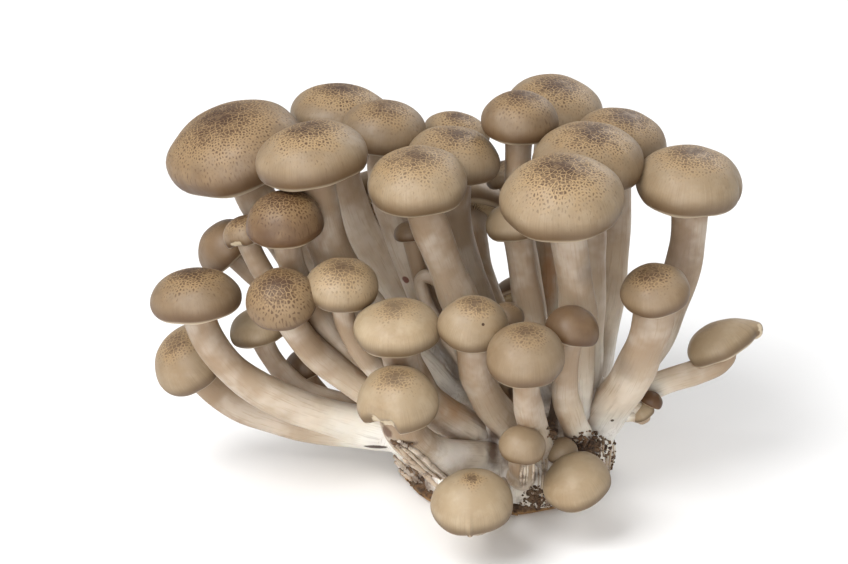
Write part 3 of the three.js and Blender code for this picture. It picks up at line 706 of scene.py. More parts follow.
# %% [markdown]
# The gills
#
# Gills are thin upright blades between the stem and the rim, long ones with short ones
# between. One blade of each kind is a cube, squeezed thin and cut across by bisecting, whose
# lower edge is then pulled into the bow that real gills have. Spin with copies turned on sets
# the whole wheel of them in one step, which is quicker than an array and leaves a mesh.

# %% Model the gills
BLADE_MIDDLE = -0.17  # the height that parts a blade's upper from its lower edge
BLADE_CUTS = (0.3, 0.62, 0.86)
BLADE_THICK = 0.02
BLADE_HIGH = 0.1
BLADE_LOW = -0.15  # the lower edge at the blade's ends, which sinks by the bow between them
BLADE_BOW = 0.075
BLADE_EDGE = 0.45  # how thin the lower edge is, of the upper one
SHORT_START = 0.52  # where a short blade starts, of the radius
GILL_SIDE = 0.815  # faces nearer to the axis than this and lower than the next are gills
GILL_TOP = -0.1


def model_blades(name, start, count, phase):
    """A wheel of gill blades that run from start to the rolled rim."""
    deselect()
    bpy.ops.mesh.primitive_cube_add(size=1, location=((start + GILL_OUT) / 2, 0, BLADE_MIDDLE))
    blades = bpy.context.active_object
    blades.name = name
    blades.dimensions = (GILL_OUT - start, BLADE_THICK, BLADE_HIGH)
    bpy.ops.object.transform_apply(location=True, rotation=True, scale=True)
    for share in BLADE_CUTS:
        edit_all()
        cut = start + share * (GILL_OUT - start)
        bpy.ops.mesh.bisect(plane_co=(cut, 0, 0), plane_no=(1, 0, 0))
    leave_edit()
    for vertex in blades.data.vertices:
        share = (vertex.co.x - start) / (GILL_OUT - start)
        if vertex.co.z < BLADE_MIDDLE:
            bow = math.sin(math.pi * min(1, 0.08 + 0.88 * share)) ** 0.6
            vertex.co.z = BLADE_LOW - BLADE_BOW * bow
            vertex.co.y *= BLADE_EDGE
        else:
            vertex.co.z = -0.115 - 0.03 * share**3
    edit_all()
    turn = 2 * math.pi / count
    bpy.ops.transform.rotate(value=phase * turn, orient_axis="Z", center_override=(0, 0, 0))
    bpy.ops.mesh.spin(
        steps=count - 1, dupli=True, angle=turn * (count - 1), center=(0, 0, 0), axis=(0, 0, 1)
    )
    leave_edit()
    return blades


def model_pattern(name, profile):
    """Cap and gills in one mesh, with the skin in slot 0 and the gills in slot 1."""
    cap = model_cap(name, profile)
    for material in (cap_skin, gill):
        cap.data.materials.append(material)
    for face in cap.data.polygons:
        inside = math.hypot(face.center.x, face.center.y) < GILL_SIDE
        face.material_index = int(inside and face.center.z < GILL_TOP)
    wheels = [
        model_blades(name + "_long", GILL_IN, profile.blades, 0),
        model_blades(name + "_short", SHORT_START, profile.blades, 0.5),
    ]
    for wheel in wheels:
        wheel.data.materials.append(gill)
    pick(cap, *wheels)
    bpy.ops.object.join()
    smooth(cap)
    return cap


fine_cap = model_pattern("pattern_fine", FINE)
small_cap = model_pattern("pattern_small", SMALL)
print("pattern caps:", len(fine_cap.data.polygons), len(small_cap.data.polygons), "faces")

# %% [markdown]
# A cap for every row
#
# Each mushroom gets its own copy of the pattern, and no two may look alike. The dome is
# lowered to the row's rise, the outline waves a little, the rim rises and falls, and soft
# lumps go over all of it. Those are smooth changes of the whole mesh, so they are written as
# formulas on its points, as a sculptor's grab brush would move them.

# %% Place the caps
LUMP = 0.025
BIG_ENOUGH = 13  # narrower caps take the small pattern
SKIN_SHIFT = 40  # millimetres between two mushrooms in the patterns of skin and grain


def waves(around, *rows):
    """Waves round an axis: each row gives their height, their number and their shift."""
    return sum(height * np.sin(number * around + shift) for height, number, shift in rows)


def degrees_from(around, bearing):
    """How many degrees each point lies from this bearing."""
    return np.abs((np.degrees(around) - bearing + 180) % 360 - 180)


def shape_cap(row, order, points):
    """Turns the pattern's points into this cap's, still with radius 1."""
    x, y, z = points.T
    z = np.where(z > 0, z * row.rise, z)
    around = np.arctan2(-y, x)
    out = np.hypot(x, y)
    wave = 1 + waves(around, (0.03, 2, order), (0.012, 5, 2 * order))
    wave = wave * (1 + row.beak * np.maximum(0, np.cos(around)) ** 6)
    lift = waves(around, (0.018, 3, 1.7 * order), (0.01, 7, order))
    z = z + lift * np.clip(out, 0, 1) ** 3
    seed = Vector((order * 3.1, order * 1.7, 0))
    lumps = np.array([noise.noise(Vector(p) * 1.6 + seed) for p in points])
    swell = wave * (1 + LUMP * lumps)
    return np.stack([x * swell, y * swell, z * (1 + LUMP * lumps)], 1)


def hurt_rim(row, points):
    """Bites, slits and nubs at the rim, and how bare of skin each point is."""
    x, y, z = points.T.copy()
    bare = np.zeros(len(points))
    around = np.arctan2(-y, x)
    rim = np.clip((np.hypot(x, y) - 0.6) / 0.3, 0, 1) * np.clip(1.4 - z / (0.45 * row.rise), 0, 1)
    for kind, bearing, half, size in row.hurts:
        ragged = 1 + waves(around, (0.16, 8, bearing), (0.04, 23, 0))
        amount = np.clip(1 - (degrees_from(around, bearing) / half) ** 2, 0, 1) * rim
        low = np.clip(0.5 - z / 0.16, 0, 1)
        if kind == "bite":
            amount = np.clip(amount * 1.5, 0, 1) * ragged
            shrink, drop = 1 - size * amount * (0.5 + 0.5 * low), 0.1 * amount
            bare += np.clip(amount - 0.35, 0, 1) * low
        elif kind == "slit":
            shrink, drop = 1 - size * amount, 0.05 * amount
            bare += 0.8 * amount * low
        else:
            shrink, drop = 1 + size * amount * ragged, -0.3 * size * amount
            bare += 0.5 * amount**2
        x, y, z = x * shrink, y * shrink, z + drop
    return np.stack([x, y, z], 1), np.clip(bare, 0, 1)


def grow_cap(row, order):
    """A copy of the pattern in its own place, with what its materials read."""
    pattern = fine_cap if row.width >= BIG_ENOUGH else small_cap
    head = add_object(row.name + "_head", pattern.data.copy())
    if row.hurts:
        apply_modifier(head, "SUBSURF", levels=1, subdivision_type="SIMPLE")
    mesh = head.data
    unit, bare = hurt_rim(row, shape_cap(row, order, get_points(mesh)))
    up, right, near, ring = cap_frame(row)
    axes = np.array([right, -near, up])
    set_points(mesh, (np.array(ring) + row.width / 2 * unit @ axes) * MM)
    note(mesh, "place", unit)
    note(mesh, "skin", unit * [row.width / 2, row.width / 2, 0] + [SKIN_SHIFT * order, 0, 0])
    note(mesh, "mood", np.tile(row.skin, (len(unit), 1)))
    note(mesh, "wound", bare[:, None] * [1, 0, 0])
    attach(head, "root")
    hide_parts(row.name)
    return head


heads = {row.name: grow_cap(row, order) for order, row in enumerate(MUSHROOMS)}
for pattern in (fine_cap, small_cap):
    bpy.data.objects.remove(pattern)
print(len(heads), "caps,", sum(len(h.data.polygons) for h in heads.values()), "faces")

# %% [markdown]
# Stems
#
# A stem is a soft rod that bends out of the knot and turns up into its cap. One rod is
# modelled, a circle extruded forty times, and copied for each row. The copy could be bent by
# a Curve modifier along a curve object. Here its rings are set on the row's curve by formula
# instead, because the ring's place also gives the fibres' direction, which the flesh
# material reads, and because the rod swells towards its root at the same time.

# %% Model the rod and bend its copies
ROD_STEPS = 40
SINK = 0.9  # how far the stem's end goes into the cap's flesh, in millimetres
SWAY = 0.7
noise.seed_set(1)  # unseeded, a noise of vectors starts from the clock and differs each time


def model_rod(name, sides, steps):
    """A rod of radius 1 and length 1, ring upon ring."""
    rod = new_circle(name, sides)
    for _ in range(steps):
        bpy.ops.mesh.extrude_region_move(TRANSFORM_OT_translate={"value": (0, 0, 1 / steps)})
    leave_edit(outwards=True)
    return rod


def carry_frames(path):
    """For each place and direction of a path, two cross directions without twist."""
    frames = []
    across = Vector((0, 1, 0)).cross(path[0][1])
    for middle, along in path:
        across = (across - along * across.dot(along)).normalized()
        frames.append((middle, across, along.cross(across), along))
    return frames


def ring_frames(points, steps):
    """The middle and the cross directions of each ring along a stem's curve."""
    return carry_frames([curve_point(points, step / steps) for step in range(steps + 1)])


def stem_radius(row, share):
    """The stem's radius: full in its lower part, slimmer above, flared under the cap."""
    top, root = row.stem
    return root + (top - root) * min(1, share * 1.25) + 0.06 * top * max(0, (share - 0.93) / 0.07)


def bend_rod(row, order, mesh):
    """Sets the rod's rings on the stem's curve, and keeps the fibres' direction."""
    unit = get_points(mesh)
    frames = ring_frames(stem_curve(row), ROD_STEPS)
    reach = sum((frames[i + 1][0] - frames[i][0]).length for i in range(ROD_STEPS))
    steps = np.rint(unit[:, 2] * ROD_STEPS).astype(int)
    middles, first, second, ways = (np.array(column) for column in zip(*frames))
    middles[-1] += ways[-1] * SINK
    rings = range(ROD_STEPS + 1)
    calm = np.sin(np.pi * np.linspace(0, 1, ROD_STEPS + 1))
    sway = [noise.noise_vector(Vector((order * 7.7, i * 0.11, 3))) for i in rings]
    middles += SWAY * calm[:, None] * np.array(sway)
    bulge = [1 + 0.1 * noise.noise(Vector((order * 5.3, i * 0.16, 0))) for i in rings]
    widths = np.array([stem_radius(row, i / ROD_STEPS) for i in rings]) * bulge
    around = np.arctan2(unit[:, 1], unit[:, 0])
    oval = 0.045 * np.cos(2 * around + order)
    uneven = 0.025 * np.cos(3 * around + 2 * order + 4 * unit[:, 2])
    width = (widths[steps] * (1 + oval + uneven))[:, None]
    spots = middles[steps] + first[steps] * unit[:, :1] * width + second[steps] * unit[:, 1:2] * width
    set_points(mesh, spots * MM)
    across = unit[:, :2] * widths[steps][:, None]
    note(mesh, "grain", np.column_stack([across, unit[:, 2] * reach + SKIN_SHIFT * order]))
    note(mesh, "age", np.zeros((len(unit), 3)))
    note(mesh, "share", unit[:, 2:] * [1, 0, 0])


rod = model_rod("pattern_rod", 24, ROD_STEPS)
rods = []
for order, row in enumerate(MUSHROOMS):
    mesh = rod.data.copy()
    bend_rod(row, order, mesh)
    rods.append(add_object(row.name + "_rod", mesh))
bpy.data.objects.remove(rod)
print(len(rods), "stems")

# %% [markdown]
# The knot
#
# At the bottom the stems run together in one lump of flesh, with folds between them like the
# roots of a tooth. Loose rods stuck in a ball would show hard creases there. So the knot is
# a low dome joined with a fat stump under every stem, and a voxel Remesh turns the heap into
# one skin, which a Smooth modifier then softens. The stumps get thinner upwards until they
# hide inside the stems, so the knot's skin and the stems' skins meet without a step.

# %% Model the knot
KNOT_RADIUS = 25.4
KNOT_FLOOR = 1.4
STUMP_STEPS = 16
STUMP_REACH = 0.42  # of the stem's length
STUMP_FAT = 1.16  # a stump's radius at its root, of the stem's
STUMP_TAPER = 0.34
KNOT_LUMP = 0.5
VOXEL = 0.77
DOME_RINGS = ((0.93, 0), (0.985, 2), (1, 5), (0.985, 8), (0.93, 10.5), (0.8, 13), (0.55, 15.5), (0.2, 17))


def new_turned(name, sides, rings):
    """A closed shape that is extruded through rings of (radius, height)."""
    turned = new_circle(name, sides)
    at = rings[0]
    bpy.ops.transform.resize(value=(at[0], at[0], 1))
    for ring in rings[1:]:
        at = extrude_ring(at, ring)
    leave_edit(outwards=True)
    points = get_points(turned.data)
    return turned, points, np.arctan2(-points[:, 1], points[:, 0])


def knot_dome():
    """A circle extruded up and in, with folds round its side."""
    dome, points, around = new_turned("knot_dome", 96, DOME_RINGS)
    fold = 1 + waves(around, (0.035, 7, 0), (0.025, 11, 1), (0.014, 23, 2), (0.01, 37, 0))
    points[:, :2] *= KNOT_RADIUS * fold[:, None]
    points[:, 2] += KNOT_FLOOR
    set_points(dome.data, points * MM)
    return dome


def on_ring(frame, x, y, radius):
    """The point of a ring round a path that lies at (x, y) of the unit circle."""
    middle, across, other, _ = frame
    return middle + across * (x * radius) + other * (y * radius)


def below(points, top, depth):
    """Nought above this height and rising to one at this depth under it."""
    return np.clip((top - points[:, 2]) / depth, 0, 1)


def stump(row):
    """The fat foot of one stem, thinner upwards until it hides inside the stem."""
    frames = ring_frames(stem_curve(row), STUMP_STEPS)
    last = max(3, int(STUMP_STEPS * STUMP_REACH))
    deselect()
    bpy.ops.mesh.primitive_cylinder_add(vertices=16, radius=1, depth=1)
    obj = bpy.context.active_object
    for step in range(1, last):
        edit_all()
        bpy.ops.mesh.bisect(plane_co=(0, 0, step / last - 0.5), plane_no=(0, 0, 1))
    leave_edit()
    points = get_points(obj.data)
    steps = np.rint((points[:, 2] + 0.5) * last).astype(int)
    widths = [
        stem_radius(row, i / STUMP_STEPS) * (STUMP_FAT - STUMP_TAPER * i / last) for i in range(last + 1)
    ]
    for i, (x, y, _) in enumerate(points):
        points[i] = on_ring(frames[steps[i]], x, y, widths[steps[i]])
    set_points(obj.data, points * MM)
    return obj


heap = [knot_dome()] + [stump(row) for row in MUSHROOMS]
pick(*heap)
bpy.ops.object.join()
knot = bpy.context.active_object
knot.name = "knot"
apply_modifier(knot, "REMESH", mode="VOXEL", voxel_size=VOXEL * MM)
apply_modifier(knot, "SMOOTH", factor=0.6, iterations=6)
points = get_points(knot.data) / MM
lumps = np.array([noise.fractal(Vector(p) * 0.22, 1.0, 2.0, 3) for p in points])
outward = points * [1, 1, 0]
outward /= np.maximum(np.linalg.norm(outward, axis=1, keepdims=True), 1e-6)
points += outward * (KNOT_LUMP * lumps * below(points, 16, 8))[:, None]
points[:, 2] = np.maximum(points[:, 2], KNOT_FLOOR)
set_points(knot.data, points * MM)
print("knot:", len(knot.data.polygons), "faces")

# %% Colour marks of the knot
# `age` keeps rust in its first part, dirt of the bed in the second, threads in the third.
DIRTY_SIDES = ((-66, 22, 1), (-22, 34, 1), (-145, 24, 0.5), (95, 30, 0.7))  # bearing, half width, share
around = np.arctan2(points[:, 1], points[:, 0])
sides = sum(
    share * np.clip(1 - degrees_from(around, bearing) / half, 0, 1) for bearing, half, share in DIRTY_SIDES
)
dirt = np.clip(sides, 0, 1) * below(points, 15, 10) + below(points, 5, 4) * 0.5
note(knot.data, "grain", points)
note(knot.data, "age", np.clip(dirt, 0, 1)[:, None] * [0, 1, 0])
note(knot.data, "share", 0 * points)

# %% Join stems and knot
pick(knot, *rods)
bpy.ops.object.join()
stalks = bpy.context.active_object
stalks.name = "stalks"
print("stems and knot:", len(stalks.data.polygons), "faces")

# %% [markdown]
# Threads on the knot
#
# Where the bunch sat against its bed the knot is a bundle of pale threads, each about a
# millimetre thick, with dirt in the grooves. A thread lies on the knot, so its path is found
# by looking: rays go from the eye through a line in the view, and where they meet the flesh
# the thread runs. The same rays later find the places of the stains and the crumbs, so all
# of them sit on the flesh whatever its lumps are.

# %% Rays that find the flesh
flesh_tree = BVHTree.FromPolygons(
    [Vector(p) for p in get_points(stalks.data) / MM],
    [tuple(face.vertices) for face in stalks.data.polygons],
)


FAR_OUT = 60


def meet(across, up):
    """Where the line of sight through (across, up) meets the flesh, and how it faces."""
    shown = VIEW_RIGHT * across + VIEW_UP * up
    return flesh_tree.ray_cast(EYE, (shown - EYE).normalized())[:2]


def meet_side(bearing, height):
    """Where a level ray from outside meets the knot, and how it faces."""
    out = Vector((math.cos(bearing), math.sin(bearing), 0))
    return flesh_tree.ray_cast(out * FAR_OUT + Vector((0, 0, height)), -out)[:2]


print("looking at the knot:", meet(0, 0))

# %% Lay the threads
Threads = namedtuple("Threads", "top_first top_last low_first low_last count width")
THREADS = [
    Threads((-25.6, 7.0), (-28.8, -0.4), (-13.2, -3.2), (-20.4, -10.2), 16, 0.55),
    Threads((3.8, 2.5), (10.4, 2.5), (3.4, -9), (10.5, -9), 9, 0.32),
    Threads((22.4, 7.5), (25.8, 7.5), (22, -2), (25.4, -2), 5, 0.34),
]
THREAD_STEPS = 22
THREAD_GAP = 3  # a thread ends where the flesh steps back by more, in millimetres
THREAD_LIFT = 0.12
FEWEST = 5  # a path with no more places than this gets no thread
thread_draw = random.Random(5)


def thread_path(start, end):
    """The longest run of places on the flesh between two points of the view."""
    runs = [[]]
    lean = thread_draw.uniform(-0.5, 0.5)
    for step in range(THREAD_STEPS + 1):
        share = step / THREAD_STEPS
        aside = lean * math.sin(math.pi * share) + 0.12 * math.sin(9 * share + lean * 20)
        spot, facing = meet(
            start[0] + (end[0] - start[0]) * share + aside, start[1] + (end[1] - start[1]) * share + aside
        )
        if not spot or (runs[-1] and (spot - runs[-1][-1]).length > THREAD_GAP):
            runs.append([])
        if spot:
            runs[-1].append(spot + facing * THREAD_LIFT)
    return max(runs, key=len)


def lay_thread(path, width, order):
    """A thin rod laid along the path, thinner at both ends."""
    index = np.linspace(0, len(path) - 1, THREAD_STEPS + 1)
    table = np.array(path)
    table = np.stack([np.interp(index, range(len(path)), table[:, i]) for i in range(3)], 1)
    table[1:-1] = (table[:-2] + 2 * table[1:-1] + table[2:]) / 4
    ways = np.gradient(table, axis=0)
    frames = carry_frames([(Vector(p), Vector(w).normalized()) for p, w in zip(table, ways)])
    mesh = thread.data.copy()
    points = get_points(mesh)
    for i, (x, y, z) in enumerate(points):
        step = round(z * THREAD_STEPS)
        taper = 0.35 + 0.65 * math.sin(math.pi * (0.06 + 0.88 * step / THREAD_STEPS)) ** 0.5
        knobby = taper * width * (1 + 0.3 * noise.noise(Vector((order * 3.3, step * 0.5, 0))))
        points[i] = on_ring(frames[step], x, y, knobby)
    set_points(mesh, points * MM)
    note(mesh, "grain", points * [3, 3, 1])
    note(mesh, "age", np.tile([0.1, 0.6, thread_draw.uniform(0.6, 1)], (len(points), 1)))
    note(mesh, "share", 0 * points)
    return add_object("thread", mesh)


def between(first, last, share):
    """A point between two points of the view, shifted a little at random."""
    return [a + (b - a) * share + thread_draw.uniform(-0.35, 0.35) for a, b in zip(first, last)]


thread = model_rod("pattern_thread", 8, THREAD_STEPS)
laid = []
for group in THREADS:
    for order in range(group.count):
        share = order / (group.count - 1)
        path = thread_path(
            between(group.top_first, group.top_last, share), between(group.low_first, group.low_last, share)
        )
        if len(path) > FEWEST:
            laid.append(lay_thread(path, group.width * thread_draw.uniform(0.6, 1.2), len(laid)))
bpy.data.objects.remove(thread)
pick(stalks, *laid)
bpy.ops.object.join()
stalks.data.materials.clear()
stalks.data.materials.append(flesh)
stalks.data.polygons.foreach_set("material_index", [0] * len(stalks.data.polygons))
smooth(stalks)
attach(stalks, "root")
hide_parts("stems")
print(len(laid), "threads, stalks:", len(stalks.data.polygons), "faces")

# %% [markdown]
# Painted shade in the hollows between the stems
#
# Deep between the stems the flesh is painted darker and browner than outside, as painted
# shade. Which points lie deep is a matter of shape: from a hollow most ways out are blocked.
# So a few rays go out from every point, and the share that soon meets another stem or a cap
# is kept in the attribute `hollow`, which the flesh material reads for that painted shade.

# %% Measure the hollows
HOLLOW_REACH = 0.011
RAY_LIFT = 0.0004
OPEN_WAY = 0.35  # a ray leaves a point only if it rises at least this far from the skin
WAYS = [Vector(way).normalized() for way in itertools.product((-1, 0, 1), repeat=3) if any(way)]

spots = []
faces = []
for obj in (stalks, *heads.values()):
    first = len(spots)
    spots += [vertex.co.copy() for vertex in obj.data.vertices]
    faces += [[first + i for i in face.vertices] for face in obj.data.polygons]
bunch_tree = BVHTree.FromPolygons(spots, faces)
normals = np.zeros(len(stalks.data.vertices) * 3)
stalks.data.vertices.foreach_get("normal", normals)
facing = normals.reshape(-1, 3) @ np.array(WAYS).T > OPEN_WAY
hollow = np.zeros((len(facing), 3))
for vertex, open_ways in zip(stalks.data.vertices, facing):
    start = vertex.co + vertex.normal * RAY_LIFT
    ways = np.flatnonzero(open_ways)
    hits = sum(bunch_tree.ray_cast(start, WAYS[i], HOLLOW_REACH)[0] is not None for i in ways)
    hollow[vertex.index, 0] = hits / max(1, len(ways))
note(stalks.data, "hollow", hollow)
print("hollow share, mean:", hollow[:, 0].mean())

# %% [markdown]
# Stains, painted shade and painted light
#
# Single marks sit at one place of one stem: a rusty spot, a dark scratch, a grey bruise,
# painted light where orange light comes through thin flesh between two stems, painted light
# mixed into the white of the knot, and painted shade in the gaps between stems and on stems
# under their caps. Each is an oval round a point of the flesh, with a ragged edge. A node
# group draws one, and a list places them. The third part of `age` keeps the marks off the
# threads, so that dirt lies in the grooves only.

# %% Group: one oval mark: a stain, painted shade or painted light
OVAL_MARK_EDGE = 1.15  # where a mark ends, as a share of its half size
stain_shade_and_light, n, given, out = new_group("oval_stain_shade_and_light", {
    "Base": "Color", "Tint": "Color", "Place": "Vector", "Centre": "Vector",
    "Size": "Vector", "Ragged": "Float", "Soft": "Float", "Amount": "Float",
})
apart = n.vector("SUBTRACT", given["Place"], given["Centre"])[0]
far = n.vector("LENGTH", n.vector("DIVIDE", apart, given["Size"])[0])[1]
inner = n.minus(OVAL_MARK_EDGE, given["Soft"])
mask = n.times(n.ramp(n.plus(far, given["Ragged"]), OVAL_MARK_EDGE, inner), given["Amount"])
n.feed(out, n.mix(mask, given["Base"], given["Tint"]))

# %% Stains, painted shade and painted light of the stems: across and up in the view, half sizes in millimetres
StainShadeAndLight = namedtuple("StainShadeAndLight", "across up size tint amount soft")
STAINS_SHADE_AND_LIGHT = [
    # the next two: the knot's own white, partly painted light
    StainShadeAndLight(-12, 4.2, (9, 9, 6), (240, 234, 225), 0.9, 0.9),
    StainShadeAndLight(-36, 12, (9, 7, 6), (222, 214, 203), 0.5, 0.9),
    StainShadeAndLight(-23.8, 45.4, (1, 1.5, 0.9), (108, 52, 38), 0.9, 0.4),
    StainShadeAndLight(-31.2, 5.3, (2.7, 1.8, 0.75), (56, 30, 18), 0.95, 0.3),
    StainShadeAndLight(-28.3, 8.9, (1.3, 2, 2), (88, 58, 38), 0.9, 0.5),
    StainShadeAndLight(-24.6, 5.9, (3.4, 3.5, 1.3), (70, 49, 35), 0.9, 0.5),
    StainShadeAndLight(-20.4, -0.8, (6, 9, 7), (84, 62, 45), 0.85, 0.7),
    StainShadeAndLight(-12, 15.4, (6.5, 7, 5), (178, 136, 94), 0.55, 0.95),
    # the next two: painted shade in the gap beside the white root
    StainShadeAndLight(-2.6, 8, (1.6, 5, 3.4), (84, 60, 44), 0.85, 0.8),
    StainShadeAndLight(-2.9, 3.8, (2.1, 6, 3.8), (84, 60, 44), 0.85, 0.95),
    # painted light: orange light through thin flesh between two stems
    StainShadeAndLight(10.6, 45, (2.2, 8, 11), (178, 124, 68), 0.6, 0.95),
    # painted shade on a stem under its cap
    StainShadeAndLight(19.5, 47, (3, 4, 4), (120, 112, 104), 0.4, 1.0),
    # the next two: painted shade in the gaps between stems
    StainShadeAndLight(1.7, 18.5, (1.4, 6, 2.4), (70, 48, 34), 0.85, 0.8),
    StainShadeAndLight(11, 15, (3.4, 10, 10), (62, 42, 28), 0.95, 0.7),
    StainShadeAndLight(20.4, 5, (5, 7, 4.6), (70, 47, 32), 0.95, 0.6),
    StainShadeAndLight(28.8, 23.8, (3.4, 4, 4), (134, 123, 111), 0.35, 1.0),
    StainShadeAndLight(24.4, 30.5, (2.4, 4, 5), (150, 132, 112), 0.5, 1.0),
    StainShadeAndLight(33, 34, (3, 4, 4), (138, 126, 112), 0.3, 1.0),
    # painted shade on a stem under its cap
    StainShadeAndLight(42, 50.2, (5, 7, 15), (112, 92, 74), 0.65, 0.9),
]
n = flesh_nodes
here = n.here()
ragged = n.ragged(here, 380, 0.7, 0.6)
clean = n.minus(1.0, n.times(n.attribute("age")[1][2], 0.8))
# the stains, painted shade and painted light laid over the flesh colour
stained_shaded_and_lit = flesh_colour
for mark in STAINS_SHADE_AND_LIGHT:
    spot = meet(mark.across, mark.up)[0]
    if spot:
        stained_shaded_and_lit = n.group(
            stain_shade_and_light, base=stained_shaded_and_lit, tint=colour(*mark.tint), place=here, centre=tuple(spot * MM),
            size=tuple(half * MM for half in mark.size), ragged=ragged, soft=mark.soft,
            amount=n.times(clean, mark.amount),
        )
n.feed(flesh_shader.inputs["Base Color"], stained_shaded_and_lit)
print(len(STAINS_SHADE_AND_LIGHT), "stains")

# %% [markdown]
# The sawdust foot
#
# The bunch was cut from its bed, so a thin slice of packed sawdust is left below, flat
# underneath and crumbly at the edge, with single crumbs caught in the folds of the knot.
# One crumb is an icosphere pulled out of round, copied some hundred times by a seeded draw:
# all round the edge, and in the places where the bed clung longest. In front those places
# are named as they show in the view, and at the back by their bearing.

# %% Model the foot and its crumbs
FOOT_RADIUS = 24.6
FOOT_HEIGHT = 2.6
FOOT_RINGS = (
    (0.965, 0), (1, 0.8), (0.985, 1.8), (0.94, FOOT_HEIGHT), (0.8, FOOT_HEIGHT + 0.2), (0.3, FOOT_HEIGHT)
)
CRUMB_TOP = 30  # crumbs that would lie higher are left out
CRUMB_LOW = 0.9
OUTSIDE = 32  # a ray that meets flesh further out has met a stem, not the knot
crumb_draw = random.Random(11)


def model_foot():
    """A thick disc with a ragged edge and a rough top."""
    foot, points, around = new_turned("foot_slice", 160, FOOT_RINGS)
    points[:, :2] *= FOOT_RADIUS * (1 + waves(around, (0.03, 3, 0), (0.02, 8, 2)))[:, None]
    rough = np.array([noise.fractal(Vector(p) * 0.5, 1.0, 2.0, 3) for p in points])
    lifted = points[:, 2] > 0.1
    points[:, :2] *= 1 + (0.03 * rough * lifted)[:, None]
    points[:, 2] += 0.3 * rough * lifted
    set_points(foot.data, points * MM)
    return foot


def model_crumb():
    """One crumb of radius 1, pulled out of round."""
    deselect()
    bpy.ops.mesh.primitive_ico_sphere_add(subdivisions=1, radius=1)
    crumb = bpy.context.active_object
    for vertex in crumb.data.vertices:
        vertex.co *= 0.75 + 0.5 * crumb_draw.random()
    return crumb


# across, up, spread across, spread up, count
FRONT_CRUMBS = [
    (20.4, 5.4, 2.6, 2.1, 240),
    (7.2, -6.8, 1.6, 1.6, 130),
    (11.4, 9, 0.8, 1.6, 40),
    (-24.8, 6.2, 1.6, 0.7, 24),
    (-22.5, -3.5, 2.4, 2.6, 60),
]
# bearing, spread, top, count
SIDE_CRUMBS = [(0, 360, 3.4, 260), (-15, 14, 13, 60), (-150, 16, 9, 60), (95, 20, 11, 90), (160, 14, 7, 40)]


def crumb_spots():
    """Place and size of every crumb, drawn with a fixed seed."""
    spots = []
    for across, up, wide, high, count in FRONT_CRUMBS:
        for _ in range(count):
            turned = crumb_draw.uniform(0, 2 * math.pi)
            far = 1.9 * crumb_draw.random() ** 0.7
            spot, facing = meet(across + wide * far * math.cos(turned), up + high * far * math.sin(turned))
            if spot and spot.z < CRUMB_TOP:
                spots.append((spot + facing * 0.15, crumb_draw.uniform(0.25, 1.0) * (1.15 - 0.35 * far)))
    for bearing, spread, top, count in SIDE_CRUMBS:
        for _ in range(count):
            turned = math.radians(bearing + spread * crumb_draw.uniform(-0.5, 0.5))
            height = CRUMB_LOW + (top - CRUMB_LOW) * crumb_draw.random() ** 1.3
            spot, facing = meet_side(turned, height)
            if not spot or math.hypot(spot.x, spot.y) > OUTSIDE:
                spot = Vector((FOOT_RADIUS * math.cos(turned), FOOT_RADIUS * math.sin(turned), height))
            spots.append((spot, crumb_draw.uniform(0.25, 0.8)))
    return spots


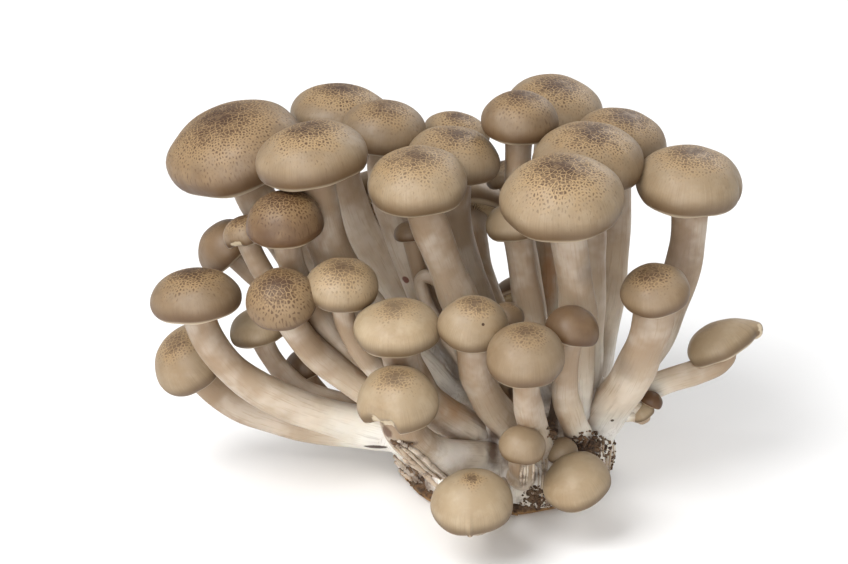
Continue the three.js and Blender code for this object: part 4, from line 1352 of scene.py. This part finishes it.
foot = model_foot()
crumb = model_crumb()
crumbs = []
for spot, size in crumb_spots():
    mesh = crumb.data.copy()
    turn = Matrix.Rotation(crumb_draw.uniform(0, 6.3), 4, "Z")
    tip = Matrix.Rotation(crumb_draw.uniform(0, 3.1), 4, "X")
    thin, flat = crumb_draw.uniform(0.5, 1), crumb_draw.uniform(0.4, 0.9)
    stretch = Matrix.Diagonal((size, size * thin, size * flat, 1))
    spot.z = max(spot.z, size + 0.1)
    mesh.transform(Matrix.Scale(MM, 4) @ Matrix.Translation(spot) @ turn @ tip @ stretch)
    crumbs.append(add_object("crumb", mesh))
bpy.data.objects.remove(crumb)
pick(foot, *crumbs)
bpy.ops.object.join()
foot.name = "sawdust_slice"
foot.data.materials.clear()
foot.data.materials.append(sawdust)
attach(foot, "root")
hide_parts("foot")
print("foot with", len(crumbs), "crumbs:", len(foot.data.polygons), "faces")

# %% [markdown]
# Floor, light and camera
#
# The bunch is shown as in a plain studio: a pale floor that runs far back, one broad light
# above to the left, a low one in front that fills the shade under the caps, a weak one from
# behind, and a white room around. Broad lights keep the edges of the shadows soft.

# %% Floor
FLOOR_SIZE = 8
pale, n, shader = new_material("pale_floor")
shader.inputs["Base Color"].default_value = (0.9, 0.9, 0.9, 1)
n.feed(shader.inputs["Roughness"], n.ramp(n.noise(n.here(), 30, 2.0), 0.3, 0.7, 0.7, 0.85))
deselect()
bpy.ops.mesh.primitive_plane_add(size=FLOOR_SIZE, location=(0, 0, 0))
floor = bpy.context.active_object
floor.name = "studio_floor"
floor.data.materials.append(pale)

# %% Lights
ROOM_LIGHT = 0.52


def area_light(name, spot, target, size, power):
    """A broad square light that looks at a target."""
    lamp = bpy.data.lights.new(name, "AREA")
    lamp.shape = "SQUARE"
    lamp.size = size
    lamp.energy = power
    obj = add_object(name, lamp)
    obj.location = spot
    obj.rotation_euler = (Vector(target) - Vector(spot)).to_track_quat("-Z", "Y").to_euler()


area_light("key", (-0.55, -0.5, 0.95), (-0.01, 0, 0.05), 0.7, 12.5)
area_light("fill", (-0.3, -1.1, 0.22), (-0.01, 0, 0.02), 0.9, 10.5)
area_light("back", (0.5, 0.8, 0.7), (-0.01, 0, 0.05), 0.8, 5)
world = bpy.data.worlds.new("white_room")
bpy.context.scene.world = world
world.use_nodes = True
room = world.node_tree.nodes["Background"].inputs
room["Color"].default_value = (1, 1, 1, 1)
room["Strength"].default_value = ROOM_LIGHT

# %% Camera
CAMERA_LENS = 100
SENSOR_WIDTH = 36
camera_data = bpy.data.cameras.new("eye")
camera_data.lens = CAMERA_LENS
camera_data.sensor_width = SENSOR_WIDTH
camera = add_object("eye", camera_data)
camera.location = EYE * MM
camera.rotation_euler = (math.pi / 2 - EYE_TILT, 0, 0)
bpy.context.scene.camera = camera
bpy.context.scene.view_settings.view_transform = "Standard"
